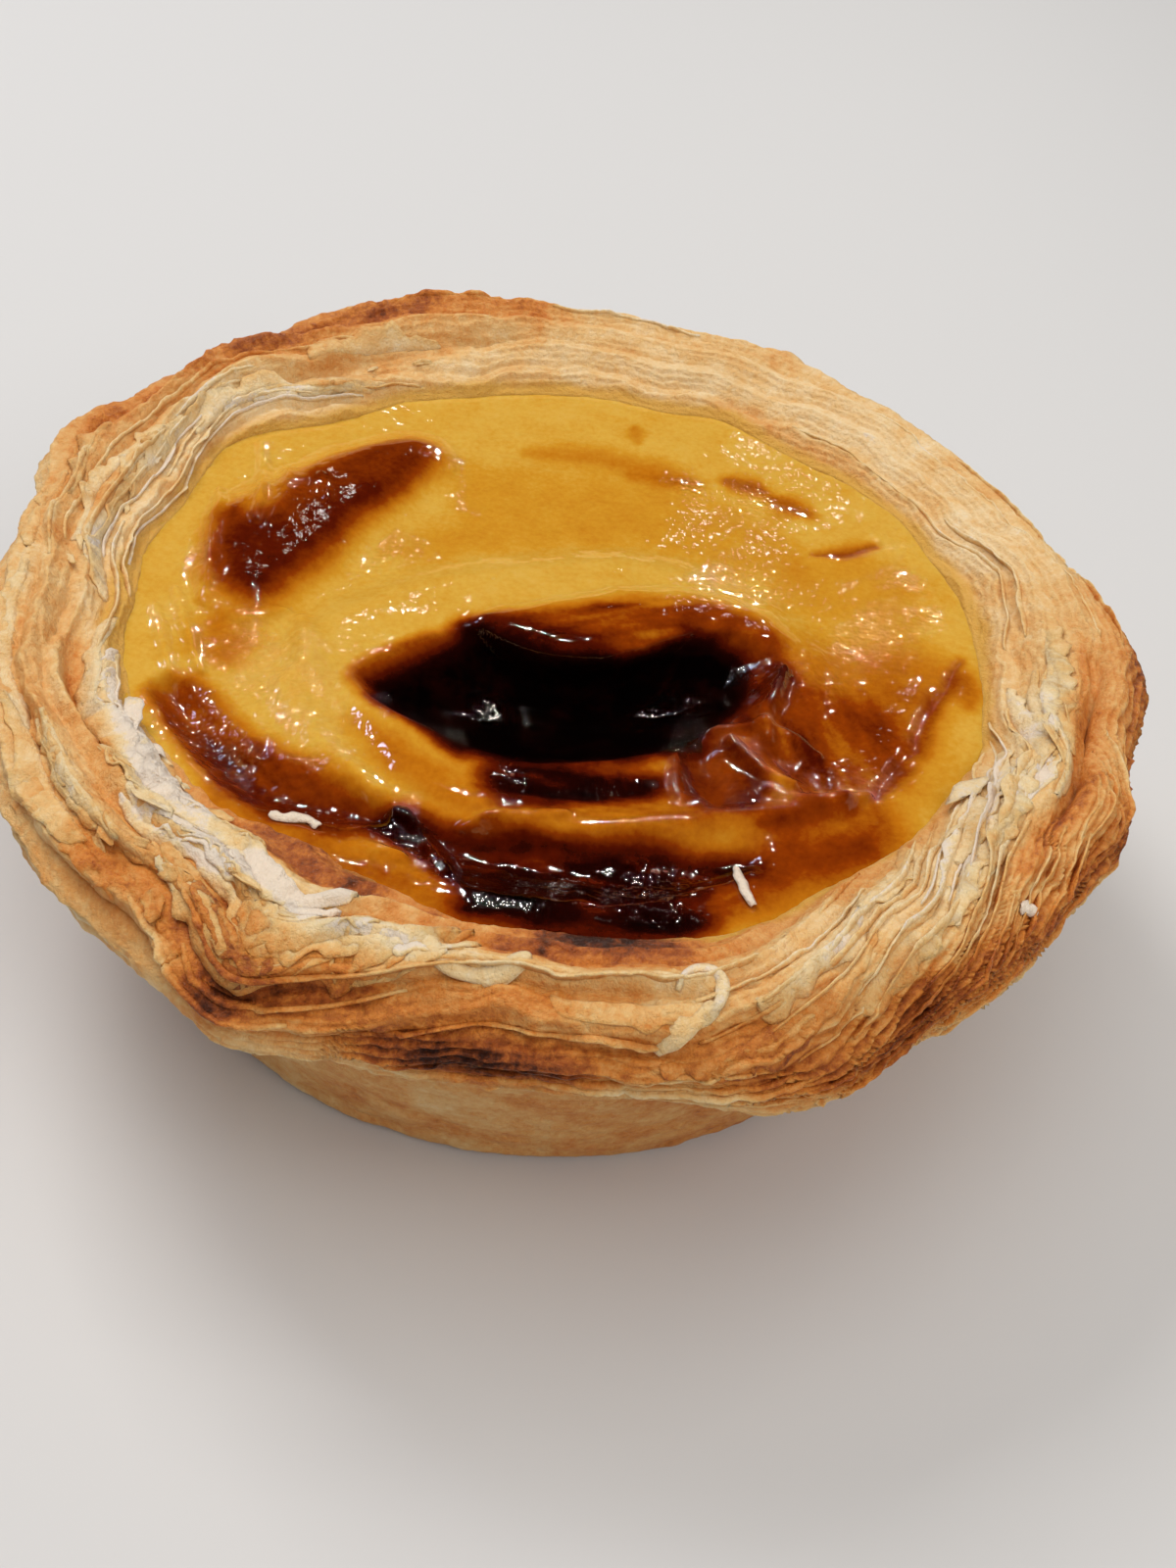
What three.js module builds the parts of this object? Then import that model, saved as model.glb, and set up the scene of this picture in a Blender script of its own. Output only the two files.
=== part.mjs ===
// A baked custard tart: a puff pastry cup with a flared, layered lip, and the set custard that fills it.
// Millimetres, +Z up. The origin is the middle of the flat foot, and -Y is the front.
import * as THREE from "three";

// Driving dimensions of the pastry cup.
const FOOT_RADIUS = 28.7;
const FOOT_ROUNDING = 1.6;
const NECK_RADIUS = 33.0; // the wall just under the lip
const NECK_HEIGHT = 17.4;
const LIP_RADIUS = 36.7; // the lip's outer edge between its corners
const LIP_UNDERSIDE = 18.6;
const LIP_THICKNESS = 3.6; // at the front
const CREST_HEIGHT = 24.1; // the highest line of the rim
const CREST_DROP = 0.9; // from the crest to the top of the lip's outer edge, at the back
const CREST_SHARE_BACK = 0.9; // how far out the crest lies between the custard and the lip's edge
const CREST_SHARE_FRONT = 0.56;
const MOUTH_RADIUS = 28.2; // where the pastry meets the custard
const MOUTH_HEIGHT = 20.7;
const FLOOR_THICKNESS = 3.4;
const FLOOR_RADIUS = 24.2;

// The custard.
const FILLING_GAP = 0.3; // clearance between the custard and the pastry
const SKIN_SAG = 0.7; // how far the skin sinks between the edge and the middle
const SKIN_SAG_RADIUS = 16;
const SKIN_SAG_SPREAD = 9;

// How finely the surfaces are cut.
const SEGMENTS = 116;
const FOOT_ROWS = 3;
const WALL_ROWS = 4;
const LIP_ROWS = 3;
const RIM_ROWS = 17;
const CUP_ROWS = 2;
const SKIN_ROWS = 23;
const CURVE_STEPS = 40;

// Corners of the lip, where the stretched dough stands out: angle, reach, half-width in degrees.
const LIP_CORNERS = [
  { at: 1, reach: 1.9, spread: 20 },
  { at: 67, reach: 1.8, spread: 11 },
  { at: 92, reach: 0.8, spread: 24 },
  { at: 112, reach: 2.0, spread: 24 },
  { at: 140, reach: 1.5, spread: 26 },
  { at: 163, reach: 1.9, spread: 13 },
  { at: 224, reach: 1.0, spread: 22 },
  { at: 248, reach: 1.5, spread: 14 },
  { at: 293, reach: 1.9, spread: 20 },
  { at: 314, reach: 1.3, spread: 26 },
  { at: 338, reach: 1.6, spread: 18 },
];
// Where the lip hangs lower than elsewhere.
const LIP_DROOPS = [
  { at: 120, reach: 0.6, spread: 30 },
  { at: 236, reach: 0.7, spread: 14 },
  { at: 262, reach: 1.3, spread: 18 },
  { at: 300, reach: 1.7, spread: 18 },
];
// Swells and dips of the crest line.
const CREST_SWELLS = [
  { at: 112, reach: 0.9, spread: 40 },
  { at: 163, reach: 0.5, spread: 18 },
  { at: 35, reach: -0.6, spread: 30 },
  { at: 205, reach: -0.7, spread: 25 },
  { at: 335, reach: 0.5, spread: 24 },
];
// Pastry layers on the rim's face. They run round it, shift at folds of the dough, and wind inwards at the front.
const LAYERS = 4;
const LAYER_RELIEF = 0.95;
const LAYER_FOLDS = [
  { at: 18, reach: 0.16, spread: 14 },
  { at: 66, reach: -0.14, spread: 10 },
  { at: 140, reach: 0.14, spread: 18 },
  { at: 248, reach: 0.2, spread: 16 },
];
const LAYER_WINDING = { from: 272, to: 342, crossings: 2.5 };
// Gaps between layers that gape open: angles, distance from the axis, half-width and depth.
const LAYER_GAPS = [
  { from: 322, to: 366, radius: 34.6, halfWidth: 0.9, depth: 1.7 },
  { from: 190, to: 224, radius: 31.0, halfWidth: 1.0, depth: 1.5 },
  { from: 222, to: 262, radius: 33.8, halfWidth: 0.9, depth: 1.0 },
  { from: 95, to: 150, radius: 32.0, halfWidth: 0.9, depth: 1.0 },
];

// Folds, blisters and the sunken middle of the baked skin. Each follows a path of points on the custard.
const SKIN_FORMS = [
  { name: "sunken middle", path: [[-8.4, -8.4], [-3, -9.2], [4, -8.6], [9.8, -5.4]], halfWidth: 4.4, rise: -4.6, steepness: 3.2 },
  { name: "rim round the middle", path: [[-13.6, -7], [-8.4, 0.6], [0, 3.2], [8, 3.8], [15.2, 0.8]], halfWidth: 3.2, rise: 1.1, steepness: 2 },
  { name: "front of the middle", path: [[-12, -11.4], [-6, -14.8], [0, -16.4], [6, -14.6], [10, -11.6]], halfWidth: 1.6, rise: 0.9, steepness: 2 },
  { name: "inner roll", path: [[-14, -10], [-10.5, -15], [-6, -19.2], [0, -19.6], [7, -17.6], [14, -15.6], [20, -11]], halfWidth: 1.9, rise: 1.3, steepness: 2 },
  { name: "outer groove", path: [[-23.4, -11], [-19, -16.4], [-14, -20.4], [-7, -22], [0, -23.4], [6, -23], [12, -20.6]], halfWidth: 1.9, rise: -1.5, steepness: 2.5 },
  { name: "outer lip", path: [[-25, -10.4], [-21, -17], [-16, -21.8], [-9, -24.4], [-1, -26.2], [7, -25.6], [14, -22.4]], halfWidth: 1.5, rise: 0.8, steepness: 2 },
  { name: "left blister", path: [[-22, -1], [-20.4, 5], [-17.4, 11.5], [-13, 17.5]], halfWidth: 3.4, rise: 1.9, steepness: 2.5 },
  { name: "left groove", path: [[-25.4, 8], [-24.8, 2], [-23.4, -4.4], [-19, -6]], halfWidth: 1.6, rise: -0.7, steepness: 2 },
  { name: "back groove", path: [[-6, 18.4], [1, 18.8], [9, 18], [17, 16]], halfWidth: 1.7, rise: -0.7, steepness: 2 },
  { name: "knot", path: [[14.4, -4.6], [13.8, -9], [12.6, -11.4], [14.6, -13.8]], halfWidth: 1.4, rise: 1.3, steepness: 2 },
  { name: "pocket by the knot", path: [[9.6, -13], [10.8, -15.4]], halfWidth: 1.8, rise: -1.1, steepness: 2 },
  { name: "right crease", path: [[16.4, -13.4], [20.6, -12], [24, -7.4], [25.6, -2.6]], halfWidth: 1.5, rise: -0.8, steepness: 2 },
];

const FULL_TURN = 360;

const mix = (a, b, share) => a + (b - a) * share;
const clamp = THREE.MathUtils.clamp;

// Sum of pointed swells round the tart, at an angle in degrees.
function swell(forms, angle) {
  return forms.reduce((sum, { at, reach, spread }) => {
    const away = Math.abs(((angle - at + 540) % FULL_TURN) - 180) / spread;
    return sum + reach * Math.max(0, 1 - away) ** 1.3;
  }, 0);
}

// A smooth, repeatable unevenness round the tart, from -1 to 1.
function uneven(angle, turns, shift) {
  const t = THREE.MathUtils.degToRad(angle);
  return (
    0.5 * Math.sin(turns * t + shift) +
    0.3 * Math.sin((2 * turns + 1) * t + 2.7 * shift) +
    0.2 * Math.sin((3 * turns + 2) * t + 5.1 * shift)
  );
}

// The rim's own measures at an angle.
function rimAt(angle) {
  const front = 0.5 - 0.5 * Math.sin(THREE.MathUtils.degToRad(angle)); // 1 at the front, 0 at the back
  const underside = LIP_UNDERSIDE - swell(LIP_DROOPS, angle) + 0.3 * uneven(angle, 7, 0.6);
  const crest = CREST_HEIGHT + swell(CREST_SWELLS, angle) + 0.25 * uneven(angle, 5, 2.1);
  return {
    lipRadius: LIP_RADIUS + swell(LIP_CORNERS, angle) + 0.3 * uneven(angle, 9, 1.3),
    underside,
    edgeTop: mix(crest - CREST_DROP, underside + LIP_THICKNESS, front),
    crest,
    crestShare: mix(CREST_SHARE_BACK, CREST_SHARE_FRONT, front),
    mouthRadius: MOUTH_RADIUS + 0.4 * uneven(angle, 6, 4.2),
    mouthHeight: MOUTH_HEIGHT + 0.2 * uneven(angle, 4, 3.3),
  };
}

// Height that the pastry layers add to the rim's face. share runs from 0 at the custard to 1 at the lip's edge.
function layerRelief(angle, share, radius) {
  const { from, to, crossings } = LAYER_WINDING;
  const wound = crossings * THREE.MathUtils.smoothstep(angle, from, to);
  const phase =
    LAYERS * (share + wound - swell(LAYER_FOLDS, angle)) +
    0.3 * uneven(angle, 4, 0.9) +
    0.15 * uneven(angle, 13, 2.2 + share);
  const within = phase - Math.floor(phase);
  const ledge = (within < 0.65 ? within / 0.65 : (1 - within) / 0.35) - 0.5; // a long slope, then a short one
  const ragged = 0.75 + 0.25 * uneven(angle, 17, 1 + share);
  const fade = Math.sqrt(Math.sin(Math.PI * clamp(share, 0, 1)));
  const gaps = LAYER_GAPS.reduce((sum, gap) => {
    const along = (angle - gap.from + FULL_TURN) % FULL_TURN;
    const ends = Math.sin(Math.PI * Math.min(1, along / (gap.to - gap.from)));
    return sum + gap.depth * ends * Math.exp(-(((radius - gap.radius) / gap.halfWidth) ** 2));
  }, 0);
  return LAYER_RELIEF * ledge * ragged * fade - gaps;
}

// One radial section of the cup, from the middle of the foot, up the outside, over the rim and down the inside.
function pastrySection(angle) {
  const rim = rimAt(angle);
  const points = [[0, 0]];
  for (let i = 0; i <= FOOT_ROWS; i++) {
    const turn = (Math.PI / 2) * (i / FOOT_ROWS);
    points.push([
      FOOT_RADIUS - FOOT_ROUNDING + FOOT_ROUNDING * Math.sin(turn),
      FOOT_ROUNDING * (1 - Math.cos(turn)),
    ]);
  }
  for (let i = 1; i <= WALL_ROWS; i++) {
    const share = i / WALL_ROWS;
    const dents = 0.25 * uneven(angle, 3 + i, 1.7 * i) * Math.sin(Math.PI * share);
    points.push([
      mix(FOOT_RADIUS, NECK_RADIUS, share) + dents,
      mix(FOOT_ROUNDING, Math.min(NECK_HEIGHT, rim.underside), share),
    ]);
  }
  points.push([mix(NECK_RADIUS, rim.lipRadius, 0.55), rim.underside - 0.1]);
  for (let i = 0; i <= LIP_ROWS; i++) {
    const share = i / LIP_ROWS;
    points.push([
      rim.lipRadius - 0.9 * (1 - Math.sin(Math.PI * mix(0.12, 0.78, share))),
      mix(rim.underside + 0.2, rim.edgeTop, share),
    ]);
  }
  const [edgeRadius, edgeHeight] = points.at(-1);
  for (let i = 1; i <= RIM_ROWS; i++) {
    const share = 1 - i / RIM_ROWS;
    const radius = mix(rim.mouthRadius, edgeRadius, share);
    const rise =
      share < rim.crestShare
        ? mix(rim.mouthHeight, rim.crest, Math.sin((Math.PI / 2) * (share / rim.crestShare)))
        : mix(rim.crest, edgeHeight, 1 - Math.cos((Math.PI / 2) * ((share - rim.crestShare) / (1 - rim.crestShare))));
    points.push([radius, rise + layerRelief(angle, share, radius)]);
  }
  for (let i = 1; i <= CUP_ROWS; i++) {
    points.push(cupWall(rim, i / CUP_ROWS));
  }
  points.push([0, FLOOR_THICKNESS]);
  return points;
}

// A point of the cup's inner wall: depth is 0 at the mouth and 1 at the floor.
function cupWall(rim, depth) {
  const radius = mix(rim.mouthRadius, FLOOR_RADIUS, depth ** 1.6);
  return [radius, mix(rim.mouthHeight, FLOOR_THICKNESS, depth)];
}

// Each skin form as a line of short straight runs.
const skinRuns = SKIN_FORMS.map((form) => {
  const curve = new THREE.CatmullRomCurve3(form.path.map(([x, y]) => new THREE.Vector3(x, y, 0)));
  return { ...form, points: curve.getPoints(CURVE_STEPS) };
});

function distanceToRun(points, x, y) {
  const here = new THREE.Vector3(x, y, 0);
  const nearest = new THREE.Vector3();
  let least = Infinity;
  for (let i = 1; i < points.length; i++) {
    new THREE.Line3(points[i - 1], points[i]).closestPointToPoint(here, true, nearest);
    least = Math.min(least, nearest.distanceTo(here));
  }
  return least;
}

// Height of the baked skin at a point of the custard.
function skinHeight(x, y, edgeHeight, share) {
  const radius = Math.hypot(x, y);
  const sag = SKIN_SAG * Math.exp(-(((radius - SKIN_SAG_RADIUS) / SKIN_SAG_SPREAD) ** 2));
  const forms = skinRuns.reduce((sum, { points, halfWidth, rise, steepness }) => {
    const away = distanceToRun(points, x, y) / halfWidth;
    return sum + rise * Math.exp(-(away ** steepness));
  }, 0);
  const held = Math.min(1, (1 - share) * 6); // the skin is held level at the pastry
  return edgeHeight - sag + forms * held;
}

// One radial section of the custard, from the middle of its underside, out, up the side and back over the skin.
function custardSection(angle) {
  const rim = rimAt(angle);
  const t = THREE.MathUtils.degToRad(angle);
  const points = [[0, FLOOR_THICKNESS + FILLING_GAP]];
  for (let i = CUP_ROWS; i >= 1; i--) {
    const [radius, height] = cupWall(rim, i / CUP_ROWS);
    points.push([radius - FILLING_GAP * 1.3, Math.max(height, FLOOR_THICKNESS + FILLING_GAP)]);
  }
  for (let i = 0; i <= SKIN_ROWS; i++) {
    const share = 1 - i / SKIN_ROWS;
    const radius = (rim.mouthRadius - FILLING_GAP * 1.3) * share;
    const height = skinHeight(radius * Math.cos(t), radius * Math.sin(t), mix(MOUTH_HEIGHT, rim.mouthHeight, share), share);
    points.push([radius, height]);
  }
  return points;
}

// A closed solid turned from sections that differ from angle to angle.
function turned(sectionAt) {
  const rows = sectionAt(0).length;
  const profile = sectionAt(0).map(([radius, height]) => new THREE.Vector2(radius, height));
  const geometry = new THREE.LatheGeometry(profile, SEGMENTS);
  const position = geometry.getAttribute("position");
  for (let i = 0; i <= SEGMENTS; i++) {
    const angle = (i % SEGMENTS) * (FULL_TURN / SEGMENTS);
    const t = THREE.MathUtils.degToRad(angle);
    sectionAt(angle).forEach(([radius, height], row) => {
      position.setXYZ(i * rows + row, radius * Math.cos(t), radius * Math.sin(t), height);
    });
  }
  geometry.computeVertexNormals();
  return geometry;
}

function pastryCrust() {
  const material = new THREE.MeshStandardMaterial({ color: 0xd9a866, roughness: 0.85, metalness: 0 });
  const mesh = new THREE.Mesh(turned(pastrySection), material);
  mesh.name = "pastry_crust";
  return mesh;
}

function custardFilling() {
  const material = new THREE.MeshStandardMaterial({ color: 0xd9a136, roughness: 0.3, metalness: 0 });
  const mesh = new THREE.Mesh(turned(custardSection), material);
  mesh.name = "custard_filling";
  return mesh;
}

const tart = new THREE.Group();
tart.add(pastryCrust(), custardFilling());

export default tart;
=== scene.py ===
"""A baked custard tart: browned puff pastry in thin leaves round a glossy custard with a scorched skin.

Shapes are worked out in millimetres and turned into metres when a mesh is made. +Z is up and -Y is the
front. Angles round the tart are in degrees from +X towards +Y. A share says where a place lies across the
rim: 0 at the custard, 1 at the top of the lip's edge and EDGE_SHARE at the bottom of that edge.
"""

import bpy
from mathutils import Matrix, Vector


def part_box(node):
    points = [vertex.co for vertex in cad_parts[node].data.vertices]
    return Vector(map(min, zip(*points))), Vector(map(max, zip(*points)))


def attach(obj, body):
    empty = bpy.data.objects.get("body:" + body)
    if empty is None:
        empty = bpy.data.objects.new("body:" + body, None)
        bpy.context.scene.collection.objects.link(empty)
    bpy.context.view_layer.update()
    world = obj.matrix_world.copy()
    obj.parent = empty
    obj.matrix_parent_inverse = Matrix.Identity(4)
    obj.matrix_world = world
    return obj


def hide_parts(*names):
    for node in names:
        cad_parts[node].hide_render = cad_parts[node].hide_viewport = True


bl_info = {
    "name": "Custard tart",
    "version": (1, 0, 0),
    "blender": (4, 5, 0),
    "location": "3D View > Sidebar > Tart",
    "description": "Builds a baked custard tart and a plain studio round it",
    "category": "Add Mesh",
}

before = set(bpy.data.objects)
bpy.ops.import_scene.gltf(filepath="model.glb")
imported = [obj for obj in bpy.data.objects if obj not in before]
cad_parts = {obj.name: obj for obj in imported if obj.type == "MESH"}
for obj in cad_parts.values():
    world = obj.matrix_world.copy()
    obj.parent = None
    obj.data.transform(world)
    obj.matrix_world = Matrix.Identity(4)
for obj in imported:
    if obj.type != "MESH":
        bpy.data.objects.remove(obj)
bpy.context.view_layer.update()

from types import SimpleNamespace

import bpy
import numpy as np
from bpy.props import FloatProperty, FloatVectorProperty, IntProperty, PointerProperty
from mathutils import Matrix, Vector

CRUST_LOW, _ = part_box("pastry_crust")
MM = 0.001
FULL_TURN = 360.0


# ---- Small sums ----


def mix(low, high, share):
    """The value that lies share of the way from low to high."""
    return low + (high - low) * share


def clamp(value, low=0.0, high=1.0):
    """The value, kept between low and high."""
    return np.clip(value, low, high)


def ease(value, low, high):
    """Rises smoothly from 0 at low to 1 at high."""
    share = clamp((value - low) / (high - low))
    return share * share * (3.0 - 2.0 * share)


def linear(colour):
    """An on-screen colour, 0 to 255 in each channel, as the linear colour that shaders use."""
    share = np.asarray(colour, float) / 255.0
    curved = ((share + 0.055) / 1.055) ** 2.4
    return tuple(np.where(share <= 0.04045, share / 12.92, curved)) + (1.0,)


def unit(vectors):
    """Vectors made 1 long."""
    return vectors / np.maximum(np.linalg.norm(vectors, axis=-1, keepdims=True), 1e-9)


def turn_from(angle, at):
    """The turn from one angle to another, from -180 to 180 degrees."""
    return (angle - at + 1.5 * FULL_TURN) % FULL_TURN - 0.5 * FULL_TURN


def disc(steps):
    """A square grid of places, bent into a round disc with a radius of 1."""
    line = np.linspace(-1.0, 1.0, steps)
    across, up = np.meshgrid(line, line)
    return across * np.sqrt(1.0 - up**2 / 2.0), up * np.sqrt(1.0 - across**2 / 2.0)


def round_point(angle, radius, height):
    """Points in mm from an angle, a distance from the axis and a height."""
    t = np.radians(angle)
    return np.stack(np.broadcast_arrays(radius * np.cos(t), radius * np.sin(t), height), -1)


NOISE_CELLS = 64
NOISE_TABLE = np.random.default_rng(11).random((NOISE_CELLS,) * 3)
NOISE_STEP = 17.3  # how far each finer layer of noise is moved, so that the layers don't line up
RIM_RADIUS = 33.0  # the rim's usual distance from the axis and its width in mm
RIM_WIDTH = 9.0


def noise(x, y, z=0.0):
    """Smooth random values from -1 to 1, about one swell a unit, which repeat after NOISE_CELLS units."""
    place = np.broadcast_arrays(x, y, z)
    low = [np.floor(axis).astype(int) for axis in place]
    share = [ease(axis - floor, 0.0, 1.0) for axis, floor in zip(place, low)]
    total = np.zeros(place[0].shape)
    for corner in np.ndindex(2, 2, 2):
        cell = tuple((floor + step) % NOISE_CELLS for floor, step in zip(low, corner))
        weight = 1.0
        for part, step in zip(share, corner):
            weight = weight * (part if step else 1.0 - part)
        total += weight * NOISE_TABLE[cell]
    return 2.0 * total - 1.0


def grain(points, size, layers=3, shift=0.0):
    """Noise at points in mm, from swells of that size down through finer layers, about -1 to 1."""
    total = 0.0
    for layer in range(layers):
        scale = 2.0**layer / size
        moved = points * scale + NOISE_STEP * (layer + 1) + shift
        total = total + noise(moved[..., 0], moved[..., 1], moved[..., 2]) * 0.5**layer
    return total / (2.0 - 0.5 ** (layers - 1))


def grains(points, forms, moved=0.0):
    """The sum of grains, each given as reach, size in mm, how flat its swells are, layers and shift."""
    total = 0.0
    for reach, size, flatness, layers, shift in forms:
        total = total + reach * grain(points * (1.0, 1.0, flatness), size, layers, shift + moved)
    return total


def round_noise(angle, swells, across, shift=0.0):
    """Noise that closes on itself round the tart: swells is NOISE_CELLS, or a multiple of it, in a turn."""
    return noise(angle / FULL_TURN * swells, across + shift, shift * 3.7)


def rim_noise(angle, share, along, across, layers=3, shift=0.0):
    """Noise that follows the rim, with swells of a length in mm along it and across it."""
    t = np.radians(angle)
    round_it = RIM_RADIUS / along
    place = np.broadcast_arrays(round_it * np.cos(t), round_it * np.sin(t), share * RIM_WIDTH / across)
    return grain(np.stack(place, -1), 1.0, layers, shift)


# ---- The pastry's measures, which follow the solid ----

FOOT_ROUNDING = 1.6
NECK_HEIGHT = 17.4
LIP_UNDERSIDE = 18.6
LIP_THICKNESS = 3.6
CREST_DROP = 0.9
CREST_SHARE_BACK = 0.9
CREST_SHARE_FRONT = 0.56
MOUTH_HEIGHT = 21.4
FLOOR_THICKNESS = 3.4
FLOOR_RADIUS = 24.2
EDGE_SHARE = 1.45
EDGE_BULGE = 0.9  # how far the lip's edge bulges, and between which parts of a half turn
EDGE_TOP_PART = 0.78
EDGE_LOW_PART = 0.12
EDGE_LIFT = 0.2  # the bottom of the lip's edge over its underside

SWELL_FALL = 1.9  # how fast a swell falls off within its half-width

# Swells round the tart are given as angle, reach in mm and half-width in degrees.
LIP_CORNERS = (
    (1, 1.9, 20), (67, 1.8, 11), (92, 0.8, 24), (112, 2.0, 24), (140, 1.5, 26), (163, 1.9, 13),
    (224, 1.0, 22), (248, 1.5, 14), (293, 1.9, 20), (314, 1.3, 26), (338, 1.6, 18),
)
LIP_DROOPS = ((120, 0.6, 30), (236, 0.7, 14), (248, 0.8, 9), (262, 1.3, 18), (300, 1.7, 18))
CREST_SWELLS = ((112, 0.9, 40), (163, 0.5, 18), (35, -0.6, 30), (205, -0.7, 25), (335, 0.5, 24))
MOUTH_SWELLS = ((148, 1.6, 18), (246, -1.1, 34), (296, 0.7, 14), (70, 0.5, 16))

# Pastry layers shift at folds of the dough, which are swells with a share as their reach, and wind inwards
# at the front.
LAYER_FOLDS = ((18, 0.16, 14), (66, -0.14, 10), (140, 0.14, 18), (248, 0.2, 16))
WINDING_FROM, WINDING_TO, WINDING_CROSSINGS = 272, 350, 1.25

# Gaps between layers that gape open: from and to angle, distance from the axis, half-width and depth in mm.
LAYER_GAPS = (
    (322, 366, 34.6, 0.9, 1.7), (190, 224, 31.0, 1.0, 1.5), (222, 262, 33.8, 0.9, 1.0),
    (95, 150, 32.0, 0.9, 1.0),
)


def swell(forms, angle):
    """The sum of round swells at an angle."""
    total = np.zeros(np.shape(angle))
    for at, reach, spread in forms:
        away = turn_from(angle, at) / spread
        total = total + reach * np.exp(-((SWELL_FALL * away) ** 2))
    return total


def uneven(angle, turns, shift):
    """The slow unevenness that the solid has, from -1 to 1."""
    t = np.radians(angle)
    return (
        0.5 * np.sin(turns * t + shift)
        + 0.3 * np.sin((2 * turns + 1) * t + 2.7 * shift)
        + 0.2 * np.sin((3 * turns + 2) * t + 5.1 * shift)
    )


def rim_at(angle, size):
    """The rim's measures in mm at an angle."""
    front = 0.5 - 0.5 * np.sin(np.radians(angle))
    underside = LIP_UNDERSIDE - swell(LIP_DROOPS, angle) + 0.3 * uneven(angle, 7, 0.6)
    crest = size.crest_height / MM + swell(CREST_SWELLS, angle) + 0.25 * uneven(angle, 5, 2.1)
    lip = size.lip_radius / MM + swell(LIP_CORNERS, angle) + 0.3 * uneven(angle, 9, 1.3)
    mouth = size.mouth_radius / MM + 0.4 * uneven(angle, 6, 4.2) + 0.35 * rim_noise(angle, 0.0, 4.0, 1.0)
    return SimpleNamespace(
        lip=lip,
        underside=underside,
        edge_top=mix(crest - CREST_DROP, underside + LIP_THICKNESS, front),
        crest=crest,
        crest_share=mix(CREST_SHARE_BACK, CREST_SHARE_FRONT, front),
        mouth=mouth + swell(MOUTH_SWELLS, angle),
        mouth_height=MOUTH_HEIGHT + 0.2 * uneven(angle, 4, 3.3),
    )


def edge_radius(rim, part):
    """The distance of the lip's bulging edge from the axis, at a part of a half turn."""
    return rim.lip - EDGE_BULGE * (1.0 - np.sin(np.pi * part))


def rim_section(rim, share):
    """Radius and height of the smooth rim."""
    down = clamp((share - 1.0) / (EDGE_SHARE - 1.0))
    across = clamp(share)
    inner = np.sin(np.pi / 2 * clamp(across / rim.crest_share))
    outer = 1.0 - np.cos(np.pi / 2 * clamp((across - rim.crest_share) / (1.0 - rim.crest_share)))
    face_radius = mix(rim.mouth, edge_radius(rim, EDGE_TOP_PART), across)
    face_height = np.where(
        across < rim.crest_share,
        mix(rim.mouth_height, rim.crest, inner),
        mix(rim.crest, rim.edge_top, outer),
    )
    side_radius = edge_radius(rim, mix(EDGE_TOP_PART, EDGE_LOW_PART, down))
    side_height = mix(rim.edge_top, rim.underside + EDGE_LIFT, down)
    on_face = share <= 1.0
    return np.where(on_face, face_radius, side_radius), np.where(on_face, face_height, side_height)


def layer_shift(angle):
    """How far winding and folds shift the layers at an angle, as a share."""
    return WINDING_CROSSINGS * ease(angle, WINDING_FROM, WINDING_TO) - swell(LAYER_FOLDS, angle)


def layer_wave(angle, share):
    """The slow waves of the layers, in layers."""
    return 0.3 * uneven(angle, 4, 0.9) + 0.15 * uneven(angle, 13, 2.2 + share)


def layer_phase(angle, share, layers):
    """How many pastry layers lie between the custard and a place on the rim."""
    return layers * (share + layer_shift(angle)) + layer_wave(angle, share)


def share_of(angle, phase, layers):
    """Where on the rim a layer line lies: the share at which layer_phase has that value."""
    share = 0.5
    for _ in range(3):
        share = (phase - layer_wave(angle, share)) / layers - layer_shift(angle)
    return share


def ledge(phase, long_part):
    """A slope up over the long part of each layer and a short fall to the next, from -0.5 to 0.5."""
    within = phase - np.floor(phase)
    return np.where(within < long_part, within / long_part, (1.0 - within) / (1.0 - long_part)) - 0.5


def gap_depth(angle, radius):
    """Depth of the gaping gaps between layers in mm."""
    total = np.zeros(np.broadcast(angle, radius).shape)
    for low, high, at, half_width, depth in LAYER_GAPS:
        along = (angle - low + FULL_TURN) % FULL_TURN
        ends = np.sin(np.pi * np.minimum(1.0, along / (high - low)))
        total = total + depth * ends * np.exp(-(((radius - at) / half_width) ** 2))
    return total


# ---- The look of each part of the pastry ----

# Places on the rim are given as angle, half-width in degrees, share, half-width as a share and strength.

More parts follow.
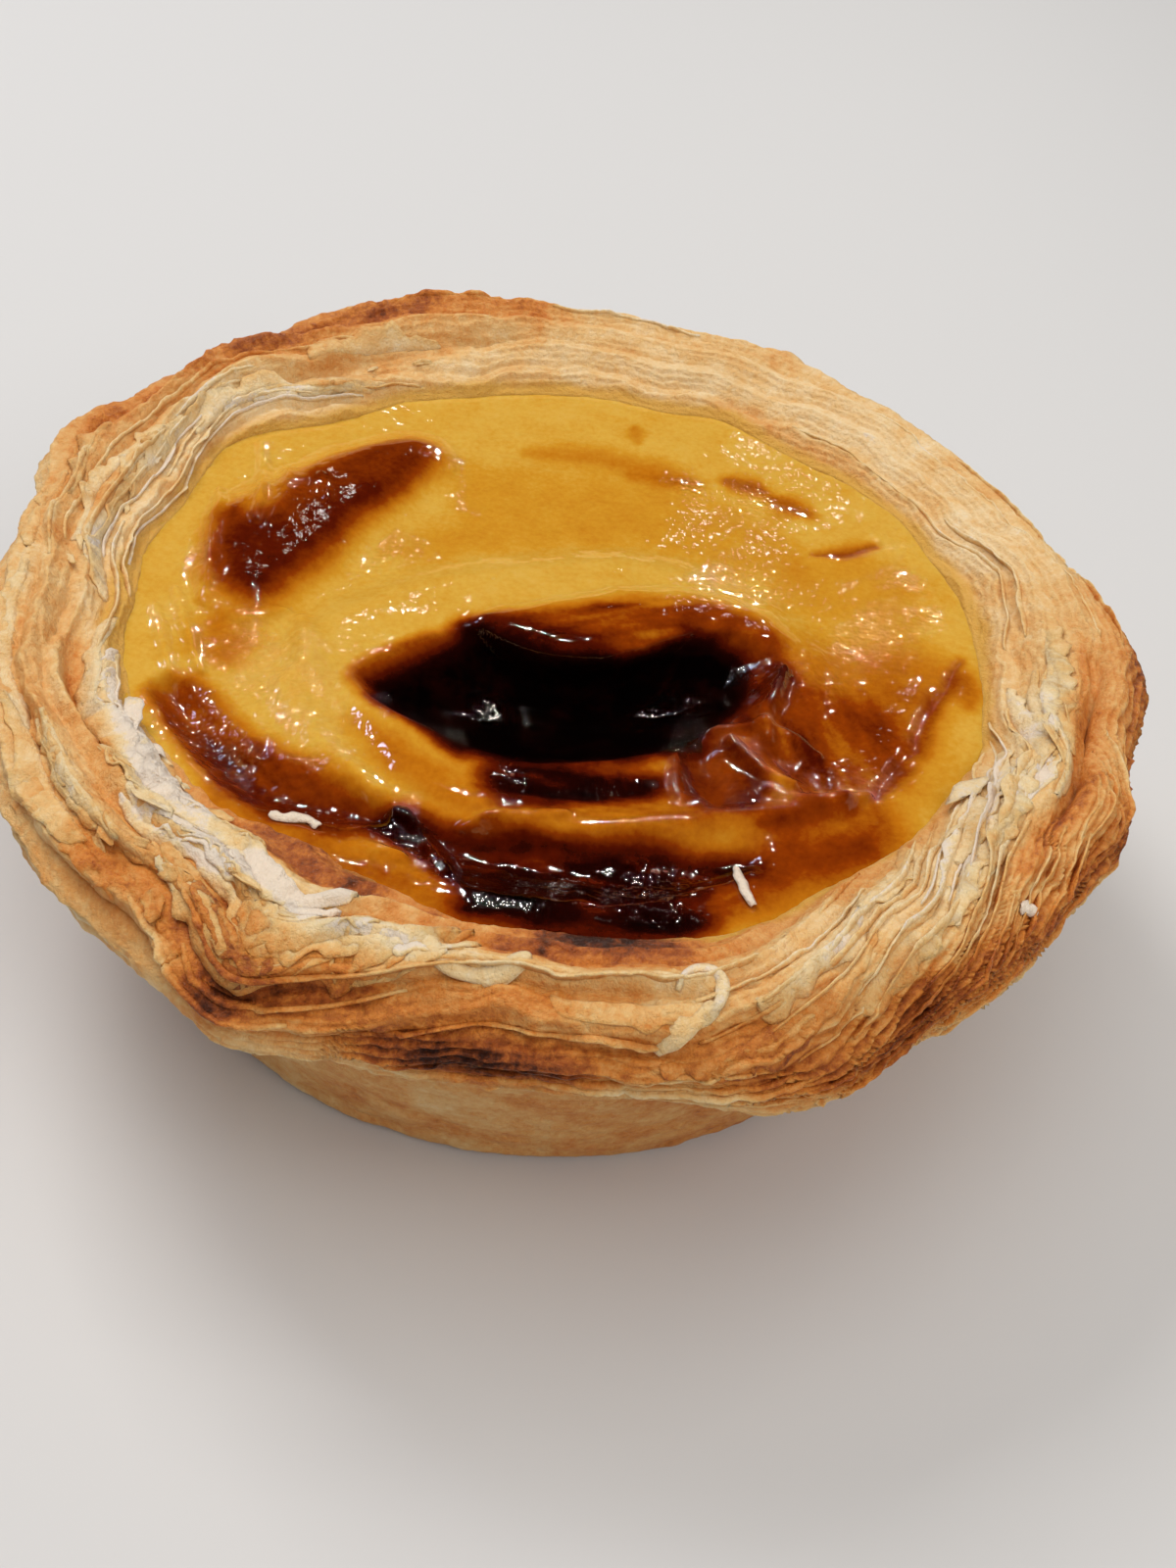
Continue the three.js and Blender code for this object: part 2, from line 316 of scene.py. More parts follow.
# Browned places, by angle.
BROWNED_PLACES = (
    (4, 9, 1.1, 0.2, 0.34), (56, 20, 0.14, 0.07, 0.1), (90, 110, 0.0, 0.07, 0.12),
    (92, 16, 0.5, 0.3, 0.04), (112, 15, 0.86, 0.2, 0.34), (127, 8, 0.25, 0.06, 0.18),
    (135, 20, 0.84, 0.24, 0.32), (158, 13, 0.82, 0.28, 0.17), (173, 7, 0.5, 0.18, 0.08),
    (187, 10, 0.62, 0.16, 0.1), (200, 8, 0.28, 0.07, 0.06), (207, 12, 0.72, 0.16, 0.06),
    (212, 9, 0.36, 0.08, 0.24), (220, 5, 0.36, 0.06, 0.16), (220, 6, 0.45, 0.07, 0.14),
    (232, 7, 0.58, 0.07, 0.16), (238, 14, 0.88, 0.12, 0.14), (240, 20, 0.0, 0.07, 0.12),
    (245, 9, 0.68, 0.08, 0.16), (246, 12, 0.12, 0.15, 0.42), (247, 3.5, 1.08, 0.09, 0.45),
    (249, 10, 0.85, 0.14, 0.3), (252, 5, 0.13, 0.12, 0.12), (262, 20, 1.06, 0.22, 0.2),
    (264.5, 4, 0.64, 0.05, 0.18), (268, 9, 1.16, 0.18, 0.55), (271, 7, 0.42, 0.1, 0.14),
    (271, 8, 0.78, 0.1, 0.14), (275, 14, 0.28, 0.2, 0.3), (275, 10, 0.8, 0.2, 0.1),
    (281, 10, 0.18, 0.26, 0.5), (290, 8, 0.88, 0.16, 0.14), (296, 44, 0.0, 0.12, 0.28),
    (298, 14, 1.12, 0.2, 0.2), (310, 7, 0.15, 0.08, 0.2), (311, 9, 0.95, 0.1, 0.14),
    (316, 22, 1.1, 0.2, 0.32), (329, 8, 0.75, 0.07, 0.16), (338, 14, 0.71, 0.1, 0.17),
    (338, 12, 1.16, 0.16, 0.16), (340, 8, 0.48, 0.14, 0.1), (345, 16, 1.15, 0.2, 0.26),
    (354, 10, 0.6, 0.05, 0.2), (358, 12, 0.84, 0.18, 0.12),
)

# Pale places, by angle.
PALE_PLACES = (
    (0, 8, 0.15, 0.1, -0.08), (14, 9, 0.75, 0.2, -0.08), (44, 26, 0.5, 0.3, -0.12),
    (90, 50, 0.3, 0.16, -0.08), (150, 22, 0.22, 0.14, -0.12), (182, 14, 0.25, 0.16, -0.08),
    (203, 8, 0.44, 0.08, -0.12), (210, 6, 0.56, 0.08, -0.12), (211, 7, 0.77, 0.09, -0.12),
    (214, 9, 0.1, 0.09, -0.28), (227, 8, 0.25, 0.1, -0.28), (240, 8, 0.42, 0.1, -0.28),
    (248, 6, 0.37, 0.08, -0.26), (257, 6, 0.58, 0.08, -0.24), (261, 9, 0.14, 0.16, -0.06),
    (267, 5, 0.58, 0.08, -0.16), (306, 14, 0.42, 0.2, -0.1), (324, 8, 0.42, 0.1, -0.08),
    (333, 18, 0.32, 0.2, -0.13),
)
BAKE_BASE = 0.2
PALEST = 0.11  # below this only the torn inside of the dough gets paler
RIM_MOTTLE = ((0.14, 4.5, 1.0, 3, 0.0), (0.07, 1.2, 1.0, 3, 0.0))

# Where the custard ran over the pastry and baked in streaks across the rim.
STREAKED_PLACES = ((268, 22, 0.22, 0.26, 0.22), (245, 12, 0.12, 0.16, 0.12))

# Where the leaves are thick, soft and crumbly instead of thin and sharp.
CRUMBLY_PLACES = (
    (228, 32, 0.6, 0.8, 1.5), (180, 18, 0.6, 0.65, 0.5), (138, 38, 1.0, 0.34, 1.1),
    (140, 24, 0.35, 0.3, 0.5), (281, 7, 0.8, 0.4, 1.0),
)

# Where the layers are tight and thin.
TIGHT_PLACES = ((318, 30, 1.15, 0.42, 1.4), (10, 22, 1.1, 0.25, 1.0), (262, 14, 1.2, 0.3, 0.6))

# Where the layers are soft and shallow.
SOFT_PLACES = (
    (50, 42, 0.5, 0.8, 1.1), (98, 34, 0.4, 0.5, 1.0), (135, 18, 0.35, 0.35, 0.5),
    (182, 18, 0.5, 0.5, 0.7), (8, 18, 0.2, 0.3, 0.3), (218, 22, 0.25, 0.2, 0.6),
    (247, 14, 0.1, 0.18, 0.9), (281, 12, 0.2, 0.28, 1.0), (312, 30, 0.05, 0.16, 0.8),
    (300, 26, 0.4, 0.3, 0.15), (344, 20, 0.82, 0.14, 0.8),
)

# Where custard soaked into the pastry at its edge: the share that it reaches, and the changes of that share
# round the tart as swells.
SOAKED_REACH = 0.07
SOAKED_CHANGES = (
    (190, 0.12, 26), (90, 0.03, 60), (20, 0.05, 24), (232, -0.16, 30), (325, -0.08, 34),
    (270, -0.12, 34),
)


def place_sum(places, angle, share):
    """The sum of soft round changes at places on the rim."""
    total = np.zeros(np.broadcast(angle, share).shape)
    for at, spread, centre, width, strength in places:
        around = turn_from(angle, at) / spread
        total = total + strength * np.exp(-(around**2) - ((share - centre) / width) ** 2)
    return total


def leaves_at(angle, share):
    """How crumbly, tight and soft the leaves are, each from 0 to 1."""
    return SimpleNamespace(
        crumbly=clamp(place_sum(CRUMBLY_PLACES, angle, share)),
        tight=clamp(place_sum(TIGHT_PLACES, angle, share)),
        soft=clamp(place_sum(SOFT_PLACES, angle, share)),
    )


def soaked_edge(angle, share):
    """How far the pastry is soaked with custard, from 0 to 0.9."""
    reach = SOAKED_REACH + swell(SOAKED_CHANGES, angle)
    reach = reach + 0.045 * rim_noise(angle, share, along=2.6, across=2.0, shift=91.0)
    return 0.9 * ease(share, reach + 0.05, reach - 0.05)


def rim_bake(angle, share, points):
    """How brown the rim is, from 0 for pale to 1 for nearly burnt."""
    total = BAKE_BASE + place_sum(BROWNED_PLACES + PALE_PLACES, angle, share)
    streaks = rim_noise(angle, share, along=1.1, across=9.0, layers=2, shift=71.0)
    total = total + place_sum(STREAKED_PLACES, angle, share) * streaks + grains(points, RIM_MOTTLE)
    return np.where(total < PALEST, PALEST + 0.45 * (total - PALEST), total)


# ---- Making meshes ----


def grid_quads(rows, columns, closed_round=False, closed_along=False):
    """Faces of a grid of points, row by row."""
    row = np.arange(rows if closed_along else rows - 1)[:, None]
    column = np.arange(columns if closed_round else columns - 1)[None, :]
    next_row = (row + 1) % rows
    next_column = (column + 1) % columns
    corners = (
        row * columns + column,
        row * columns + next_column,
        next_row * columns + next_column,
        next_row * columns + column,
    )
    return np.stack([np.broadcast_to(corner, corners[0].shape).ravel() for corner in corners], -1)


def grid_normals(points, closed_round):
    """Unit normals of a grid of points whose columns run counter-clockwise."""
    along = np.gradient(points, axis=0)
    if closed_round:
        around = np.roll(points, -1, axis=1) - np.roll(points, 1, axis=1)
    else:
        around = np.gradient(points, axis=1)
    return unit(np.cross(around, along))


def grid_border(rows, columns):
    """The numbers of the points round a grid, in order."""
    number = np.arange(rows * columns).reshape(rows, columns)
    return np.concatenate([number[0, :-1], number[:-1, -1], number[-1, :0:-1], number[:0:-1, 0]])


def fan(ring, centre):
    """Triangles from a ring of point numbers to the point in its middle."""
    return np.stack([np.roll(ring, -1), ring, np.full_like(ring, centre)], -1)


def add_object(name, data):
    """A new object in the scene, in place of an older one of that name."""
    old = bpy.data.objects.get(name)
    if old is not None:
        bpy.data.objects.remove(old)
    made = bpy.data.objects.new(name, data)
    bpy.context.scene.collection.objects.link(made)
    return made


def make_piece(name, points, faces, values, material, node):
    """A smooth mesh object from points in mm, arrays of faces and a number a point for each attribute."""
    corners = np.concatenate([np.ravel(group) for group in faces]).astype(np.int32)
    sizes = np.concatenate([np.full(len(group), group.shape[1]) for group in faces])
    starts = (np.cumsum(sizes) - sizes).astype(np.int32)
    places = (np.ravel(points) * MM).astype(np.float32)
    mesh = bpy.data.meshes.new(name)
    mesh.vertices.add(len(places) // 3)
    mesh.vertices.foreach_set("co", places)
    mesh.loops.add(len(corners))
    mesh.loops.foreach_set("vertex_index", corners)
    mesh.polygons.add(len(starts))
    mesh.polygons.foreach_set("loop_start", starts)
    mesh.update(calc_edges=True)
    mesh.validate()
    for label, numbers in values.items():
        attribute = mesh.attributes.new(label, "FLOAT", "POINT")
        attribute.data.foreach_set("value", np.ravel(numbers).astype(np.float32))
    mesh.materials.append(material)
    mesh.shade_smooth()
    piece = add_object(name, mesh)
    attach(piece, "root")
    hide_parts(node)


def leaf(middle, thickness, bake, cleft):
    """A closed thin leaf about a grid of points in mm: its points and faces, with its bake and its painted
    cleft shade.
    """
    rows, columns = middle.shape[:2]
    offset = grid_normals(middle, False) * thickness[..., None] / 2.0
    points = np.vstack([(middle + offset).reshape(-1, 3), (middle - offset).reshape(-1, 3)])
    front = grid_quads(rows, columns)
    ring = grid_border(rows, columns)
    following = np.roll(ring, -1)
    back = rows * columns
    side = np.stack([following, ring, ring + back, following + back], -1)
    return points, np.vstack([front, front[:, ::-1] + back, side]), bake, cleft


def make_leafy_piece(name, leaves, material, node):
    """One piece from many leaves."""
    first = 0
    points, faces, bake, cleft = [], [], [], []
    for leaf_points, leaf_faces, leaf_bake, leaf_cleft_shade in leaves:
        points.append(leaf_points)
        faces.append(leaf_faces + first)
        bake.append(np.tile(np.ravel(leaf_bake), 2))
        cleft.append(np.tile(np.ravel(leaf_cleft_shade), 2))
        first += len(leaf_points)
    values = {"bake": np.concatenate(bake), "cleft": np.concatenate(cleft)}
    make_piece(name, np.vstack(points), [np.vstack(faces)], values, material, node)


# ---- Materials ----


class Wire:
    """An output socket of a finish. Arithmetic on it adds Math nodes and gives a new wire."""

    def __init__(self, finish, socket):
        self.finish = finish
        self.socket = socket

    def _sum(self, operation, left, right, within_one=False):
        settings = {"operation": operation, "use_clamp": within_one}
        return self.finish.node("ShaderNodeMath", settings, {0: left, 1: right})

    def __add__(self, other):
        return self._sum("ADD", self, other)

    def __radd__(self, other):
        return self._sum("ADD", other, self)

    def __sub__(self, other):
        return self._sum("SUBTRACT", self, other)

    def __rsub__(self, other):
        return self._sum("SUBTRACT", other, self)

    def __mul__(self, other):
        return self._sum("MULTIPLY", self, other)

    def __rmul__(self, other):
        return self._sum("MULTIPLY", other, self)

    def __pow__(self, other):
        return self._sum("POWER", self, other)

    def clamped(self):
        """The same value kept between 0 and 1."""
        return self._sum("ADD", self, 0.0, within_one=True)


class Finish:
    """A material whose nodes are added one call at a time."""

    def __init__(self, name):
        self.material = bpy.data.materials.get(name) or bpy.data.materials.new(name)
        self.material.use_nodes = True
        self.tree = self.material.node_tree
        self.tree.nodes.clear()

    def node(self, kind, settings=None, sockets=None, output=0):
        """Adds a node, with its settings first and then its sockets' values or links."""
        made = self.tree.nodes.new(kind)
        for label, value in (settings or {}).items():
            if label == "stops":
                self._set_stops(made.color_ramp, value)
            else:
                setattr(made, label, value)
        for label, value in (sockets or {}).items():
            if isinstance(value, Wire):
                self.tree.links.new(value.socket, made.inputs[label])
            else:
                made.inputs[label].default_value = value
        return Wire(self, made.outputs[output]) if made.outputs else None

    @staticmethod
    def _set_stops(ramp, stops):
        while len(ramp.elements) < len(stops):
            ramp.elements.new(1.0)
        for element, (place, colour) in zip(ramp.elements, stops):
            element.position = place
            element.color = linear(colour)

    def value_of(self, attribute):
        """The number that the mesh holds at each point."""
        return self.node("ShaderNodeAttribute", {"attribute_name": attribute}, output="Fac")

    def place(self):
        """The place on the object, in metres."""
        return self.node("ShaderNodeTexCoord", output="Object")

    def speckle(self, place, size, detail, roughness):
        """Noise from 0 to 1 with swells of a size in mm."""
        sockets = {"Vector": place, "Scale": 1.0 / (size * MM), "Detail": detail, "Roughness": roughness}
        return self.node("ShaderNodeTexNoise", {}, sockets, output="Fac")

    def ramp(self, value, stops):
        """A colour from a value from 0 to 1."""
        return self.node("ShaderNodeValToRGB", {"stops": stops}, {"Fac": value}, output="Color")

    def blend(self, share, first, second):
        """Two colours mixed by a share."""
        sockets = {0: share, 6: first, 7: second}
        return self.node("ShaderNodeMix", {"data_type": "RGBA"}, sockets, output=2)

    def bump(self, height, distance):
        """A normal from a height from 0 to 1, distance mm high."""
        sockets = {"Height": height, "Distance": distance * MM, "Strength": 1.0}
        return self.node("ShaderNodeBump", {}, sockets, output="Normal")

    def surface(self, **sockets):
        """Ends the finish with its shader: sockets are named in words, with _ for a space."""
        named = {label.replace("_", " "): value for label, value in sockets.items()}
        shader = self.node("ShaderNodeBsdfPrincipled", {}, named)
        self.node("ShaderNodeOutputMaterial", {}, {"Surface": shader})
        return self.material


# On-screen colours by how far the pastry and the custard are baked.
PASTRY_STOPS = (
    (0.0, (232, 212, 190)), (0.06, (236, 208, 162)), (0.14, (232, 198, 146)), (0.24, (227, 183, 120)),
    (0.38, (219, 158, 88)), (0.54, (206, 126, 50)), (0.72, (158, 80, 28)), (0.88, (98, 44, 16)),
    (1.0, (52, 22, 12)),
)
SOAKED_COLOUR = (212, 160, 66)
CUSTARD_STOPS = (
    (0.0, (220, 180, 96)), (0.13, (212, 164, 64)), (0.2, (204, 144, 38)), (0.32, (188, 112, 18)),
    (0.48, (140, 56, 5)), (0.64, (86, 20, 3)), (0.8, (32, 4, 2)), (1.0, (3, 1, 1)),
)


def pastry_finish():
    """Dry flaky pastry: pale in its layers, browned on its edges, with a fine crumb and painted shade in
    its clefts.
    """
    finish = Finish("baked_puff_pastry")
    place = finish.place()
    bake = finish.value_of("bake")
    cleft = finish.value_of("cleft")
    mottle = finish.speckle(place, size=2.4, detail=4.0, roughness=0.6)
    crumb = finish.speckle(place, size=0.55, detail=4.0, roughness=0.7)
    pores = finish.speckle(place, size=0.22, detail=3.0, roughness=0.6)
    spotted = (mottle - 0.5) * 0.4 + (crumb - 0.5) * (bake * 0.55 + 0.32)
    # Painted shade: the colour is darkened in clefts, gaps and dents and lightened on raised crests.
    browning_and_shade = (bake + spotted + cleft * 0.22).clamped()
    colour = finish.ramp(browning_and_shade, PASTRY_STOPS)
    return finish.surface(
        Base_Color=finish.blend(finish.value_of("soaked"), colour, linear(SOAKED_COLOUR)),
        Roughness=0.75 - browning_and_shade * 0.35,
        Specular_IOR_Level=0.45,
        Normal=finish.bump(crumb * 0.7 + pores * 0.3, distance=0.42),
        Subsurface_Weight=0.3,
        Subsurface_Radius=(1.0, 0.85, 0.7),
        Subsurface_Scale=0.5 * MM,
    )


def custard_finish():
    """Moist glossy custard skin: yellow where pale, then caramel, red-brown and black where scorched, and
    black as painted shade deep in the sunken middle.
    """
    finish = Finish("scorched_custard_skin")
    place = finish.place()
    bake = finish.value_of("bake")
    rough = finish.value_of("rough")
    mottle = finish.speckle(place, size=3.0, detail=4.0, roughness=0.6)
    fine = finish.speckle(place, size=0.42, detail=3.0, roughness=0.6)
    beads = finish.speckle(place, size=0.62, detail=1.0, roughness=0.4)
    # The bake holds scorch and, deep in the sunken middle, painted shade.
    scorch_and_shade = (bake + (mottle - 0.5) * (bake * 0.4 + 0.04) + (fine - 0.5) * 0.14).clamped()
    height = beads * (0.16 + rough * 0.95) + fine * (scorch_and_shade**4.0 * 0.2 + 0.03)
    return finish.surface(
        Base_Color=finish.ramp(scorch_and_shade, CUSTARD_STOPS),
        Roughness=scorch_and_shade**6.0 * 0.02 + 0.038,
        Specular_IOR_Level=0.85,
        Normal=finish.bump(height, distance=0.17),
        Subsurface_Weight=0.2,
        Subsurface_Radius=(1.0, 0.5, 0.15),
        Subsurface_Scale=1.5 * MM,
    )


# ---- The rim ----

RIM_COLUMNS = 760
FACE_ROWS = 78
EDGE_ROWS = 36
UNDER_ROWS = 8
HIDDEN_ROWS = 3
INNER_DEPTH = 5.0  # how far the rim's hidden inner side reaches down behind the custard
UNDER_BAKE = 0.40
UNDER_INSET = 0.4  # how far within the neck the lip's underside starts
AROUND_STEP = 0.3  # degrees and share either side of a place, whose points give the directions there
ACROSS_STEP = 0.006
LEAF_LINES = 4  # lines of leaf edges in each thick layer
THIN_LINES = 5  # lines of thinner leaves where the layers are tight

# The part of each layer over which its ledge slopes up.
THICK_SLOPE = 0.66
LEAF_SLOPE = 0.72
THIN_SLOPE = 0.5


def thick_ledges(angle, share, phase, leaves):
    """The ledges of the thick layers."""
    bend = rim_noise(angle, share, along=9.0, across=5.0, layers=2, shift=3.0)
    ledges = ledge(phase + 0.25 * leaves.crumbly * bend, THICK_SLOPE)
    ledges = ledges * (0.75 + 0.25 * uneven(angle, 17, 1 + share))
    ledges = ledges * (1.0 + 0.6 * leaves.crumbly - 0.5 * leaves.tight)
    patchy = rim_noise(angle, share, along=7.0, across=3.0, layers=2, shift=51.0)
    return ledges * (1.0 - leaves.soft * (0.45 + 0.45 * patchy))


def leaf_ledges(angle, phase, leaves):
    """The ledges of the leaves in the thick layers."""
    phase = phase * LEAF_LINES
    phase = phase + 0.35 * round_noise(angle, 128, phase, 5.3)
    ledges = ledge(phase, LEAF_SLOPE) * (0.65 + 0.55 * round_noise(angle, 64, np.floor(phase), 9.1))
    return ledges * (1.0 - 0.85 * leaves.crumbly) * (1.0 - leaves.tight) * (1.0 - 0.3 * leaves.soft)


def thin_ledges(angle, share, phase):
    """The ledges of the thin leaves of tight layers."""
    phase = phase * THIN_LINES + 0.6 * rim_noise(angle, share, along=3.0, across=2.0, layers=2, shift=21.0)
    return ledge(phase, THIN_SLOPE) * (
        0.8 + 0.5 * rim_noise(angle, share, along=1.2, across=0.5, layers=1, shift=33.0)
    )


def rim_relief(angle, share, base, size):
    """Height of the leaves on the rim in mm, and painted shade, -1 to 1: dark in clefts, pale on raised
    crests.
    """
    leaves = leaves_at(angle, share)
    phase = layer_phase(angle, share, size.layers)
    phase = (
        phase
        + 0.10 * round_noise(angle, 128, phase * 1.5)
        + 0.05 * round_noise(angle, 384, phase * 3.0, 2.1)
    )
    thick = thick_ledges(angle, share, phase, leaves)
    fine = leaf_ledges(angle, phase, leaves)
    thin = thin_ledges(angle, share, phase)
    gape = gap_depth(angle, np.hypot(base[..., 0], base[..., 1])) * (share <= 1.0)
    torn = 5.0 * rim_noise(angle, share, along=13.0, across=2.4, layers=4, shift=12.0)
    plates = np.floor(torn) + ease(torn - np.floor(torn), 0.82, 1.0)
    coarse_crumb = mix(0.12, 0.22, leaves.crumbly) * grain(base, 1.3)
    fine_crumb = mix(0.07, 0.16, leaves.crumbly) * grain(base, 0.6, layers=2)
    ledges = size.layer_relief / MM * thick + 0.32 * fine + 0.6 * leaves.tight * thin
    fade_in = np.sqrt(clamp(share / 0.12))
    height = fade_in * (ledges + 0.15 * leaves.crumbly * plates) - gape + (coarse_crumb + fine_crumb)
    # Painted shade: darker in low clefts and gaping gaps, paler on raised plates and on the crests of tight
    # leaves.
    cleft = (clamp(0.5 - thick) * 0.5 + clamp(0.3 - fine) * 0.4) * (1.0 - 0.5 * leaves.soft)
    cleft = cleft + leaves.tight * (1.1 * ease(-thin, -0.1, 0.5) - 0.5 * ease(thin, 0.1, 0.5))
    cleft = cleft + 0.5 * clamp(gape)
    raised = 0.6 * ease(torn, 0.9, 1.3) * (share < 0.8)
    cleft = cleft + leaves.crumbly * (0.5 * ease(-torn, 0.4, 2.0) - raised)
    return height, clamp(cleft, -1.0, 1.0)


def smooth_rim(angle, share, size):
    """Points in mm on the rim without its leaves."""
    radius, height = rim_section(rim_at(angle, size), share)
    return round_point(angle, radius, height)


def rim_surface(angle, share, size):
    """Points on the rim with its leaves, directions out of it and towards the custard, and the painted
    shade of its clefts.
    """
    base = smooth_rim(angle, share, size)
    around = smooth_rim(angle + AROUND_STEP, share, size) - smooth_rim(angle - AROUND_STEP, share, size)
    inward = smooth_rim(angle, share - ACROSS_STEP, size) - smooth_rim(angle, share + ACROSS_STEP, size)
    outward = unit(np.cross(around, inward))
    relief, cleft = rim_relief(angle, share, base, size)
    return base + outward * relief[..., None], outward, unit(inward), cleft


def make_rim(size, material):
    """The flared lip with its leaves: under it, up its edge, over its face and down behind the custard."""
    angle = np.arange(RIM_COLUMNS)[None, :] * (FULL_TURN / RIM_COLUMNS)
    rim = rim_at(angle, size)
    face = np.linspace(1.0, 0.0, FACE_ROWS)[:, None]
    edge = np.linspace(EDGE_SHARE, 1.0, EDGE_ROWS, endpoint=False)[:, None]
    share = np.vstack([edge, face]) * np.ones_like(angle)
    shown, _, _, cleft = rim_surface(np.broadcast_to(angle, share.shape), share, size)
    under = np.linspace(0.0, 1.0, UNDER_ROWS, endpoint=False)[:, None]
    neck = size.neck_radius / MM - UNDER_INSET
    under_radius = mix(neck, np.hypot(shown[0, :, 0], shown[0, :, 1]), under)
    under_height = mix(rim.underside, shown[0, :, 2], under**2) - 0.2 * np.sin(np.pi * under)
    hidden = np.linspace(0.0, 1.0, HIDDEN_ROWS + 1)[1:, None]
    hidden_radius = mix(rim.mouth - 0.1, rim.mouth - 0.6, hidden)
    hidden_height = rim.mouth_height - INNER_DEPTH * hidden
    points = np.vstack([
        round_point(angle, under_radius, under_height),
        shown,
        round_point(angle, hidden_radius, hidden_height),
    ])
    bake = rim_bake(angle, share, shown)
    below = mix(UNDER_BAKE, bake[:1], under**2)
    bake = np.vstack([below, bake, np.repeat(bake[-1:], HIDDEN_ROWS, axis=0)])
    cleft = np.vstack([0.0 * below, cleft, 0.0 * hidden_radius])
    soaked = np.vstack([0.0 * below, soaked_edge(angle, share), 0.0 * hidden_radius])
    faces = grid_quads(*bake.shape, closed_round=True, closed_along=True)
    values = {"bake": bake, "cleft": cleft, "soaked": soaked}
    make_piece("pastry_rim", points, [faces], values, material, "pastry_crust")


# ---- Leaves that stand up along the layer lines ----

TURN_START = -10.0  # where the lines that wind round the tart start and end
RUN_START = (0.0, 20.0)  # degrees from there to a line's first run
RUN_LENGTH = (10.0, 60.0)
RUN_BREAK = (0.5, 12.0)
LEAF_STEP = 0.5  # degrees between a leaf's points
FEWEST_STEPS = 7  # a leaf has more points than this
LEAF_SHARES = (0.03, EDGE_SHARE - 0.04)  # where leaves stand
LEAF_GAPE = 0.4  # the depth in mm from which a gap has no leaves
LEAF_HEIGHT = (0.25, 0.75)  # mm
LEAF_TAPER = 3.0  # degrees over which a leaf's ends taper off
LEAST_TAPER = 0.002  # keeps a little height at the ends
LEAF_LEAN = (-0.2, 0.7)
CRUMBLY_LEAN = -1.6
LEAF_TOAST = (-0.10, 0.10)

# The rows of a leaf from its root to its tip: level, which is mm under the surface where it is below 0 and
# otherwise a part of the leaf's height, thickness in mm, further browning, and painted shade, darkest at
# the root.
LEAF_LEVELS = (-0.5, 0.45, 1.0)
LEAF_THICKNESSES = (0.26, 0.18, 0.07)
LEAF_BAKES = (0.08, 0.0, 1.0)
LEAF_CLEFT_SHADES = (0.9, 0.2, 0.0)

# Places with taller or lower leaf edges, as changes of their usual height.
LEAF_PLACES = (
    (330, 20, 0.38, 0.2, 0.8), (338, 12, 0.72, 0.1, -0.9), (322, 14, 0.02, 0.12, -0.8),
    (20, 26, 0.45, 0.45, 0.35), (207, 13, 0.42, 0.12, -0.6), (125, 40, 0.3, 0.3, 0.3),
    (348, 18, 0.7, 0.12, -0.7), (300, 22, 0.5, 0.4, 0.25), (316, 34, 1.2, 0.25, -0.2),
    (85, 34, 0.5, 0.6, -0.35),
)


def column(values):
    """Numbers as one row of a grid each."""
    return np.array(values)[:, None]


def standing_leaf(angle, share, size, draw):
    """One ragged leaf edge that stands on the rim along a run of places."""
    count = len(angle)
    along = np.linspace(0.0, 1.0, count)
    arc = np.radians(angle) * RIM_RADIUS
    drift = draw.uniform(0.0, 50.0)
    share = share + 0.010 * noise(arc / 3.5, drift)
    root, outward, inward, _ = rim_surface(angle, share, size)
    leaves = leaves_at(angle, share)
    tall = draw.uniform(*LEAF_HEIGHT) * np.maximum(0.15, 1.0 + place_sum(LEAF_PLACES, angle, share))
    tall = tall * np.where(share > 1.0, 0.55, 1.0) * (1.0 - 0.6 * leaves.soft)
    from_end = np.minimum(along, 1.0 - along) * count * LEAF_STEP
    taper = clamp(from_end / LEAF_TAPER, LEAST_TAPER) ** 0.6
    ragged = 0.72 + 0.30 * noise(arc / 1.8, drift + 7) + 0.22 * noise(arc / 0.7, drift + 13)
    height = taper * tall * clamp(ragged, 0.15, 1.4)
    lean = draw.uniform(*LEAF_LEAN) + 0.5 * noise(arc / 4.0, drift + 21)
    lean = lean + 0.4 * noise(arc / 1.4, drift + 27)
    lean = mix(lean, CRUMBLY_LEAN, 0.7 * leaves.crumbly)
    level = column(LEAF_LEVELS)
    rise = np.where(level < 0.0, level, level * height)
    bend = np.maximum(level, 0.0) ** 1.5 * height * lean
    middle = root + outward * rise[..., None] + inward * bend[..., None]
    thickness = column(LEAF_THICKNESSES) * mix(1.0, 1.6, leaves.crumbly)
    toast = draw.uniform(*LEAF_TOAST)
    baked = rim_bake(angle, share, root)
    tip = mix(-0.05, 0.10, ease(baked, 0.3, 0.6))
    bake = baked + toast + column(LEAF_BAKES) * np.stack([np.ones(count), tip, tip])
    return leaf(middle, thickness, bake, column(LEAF_CLEFT_SHADES) * np.ones(count))


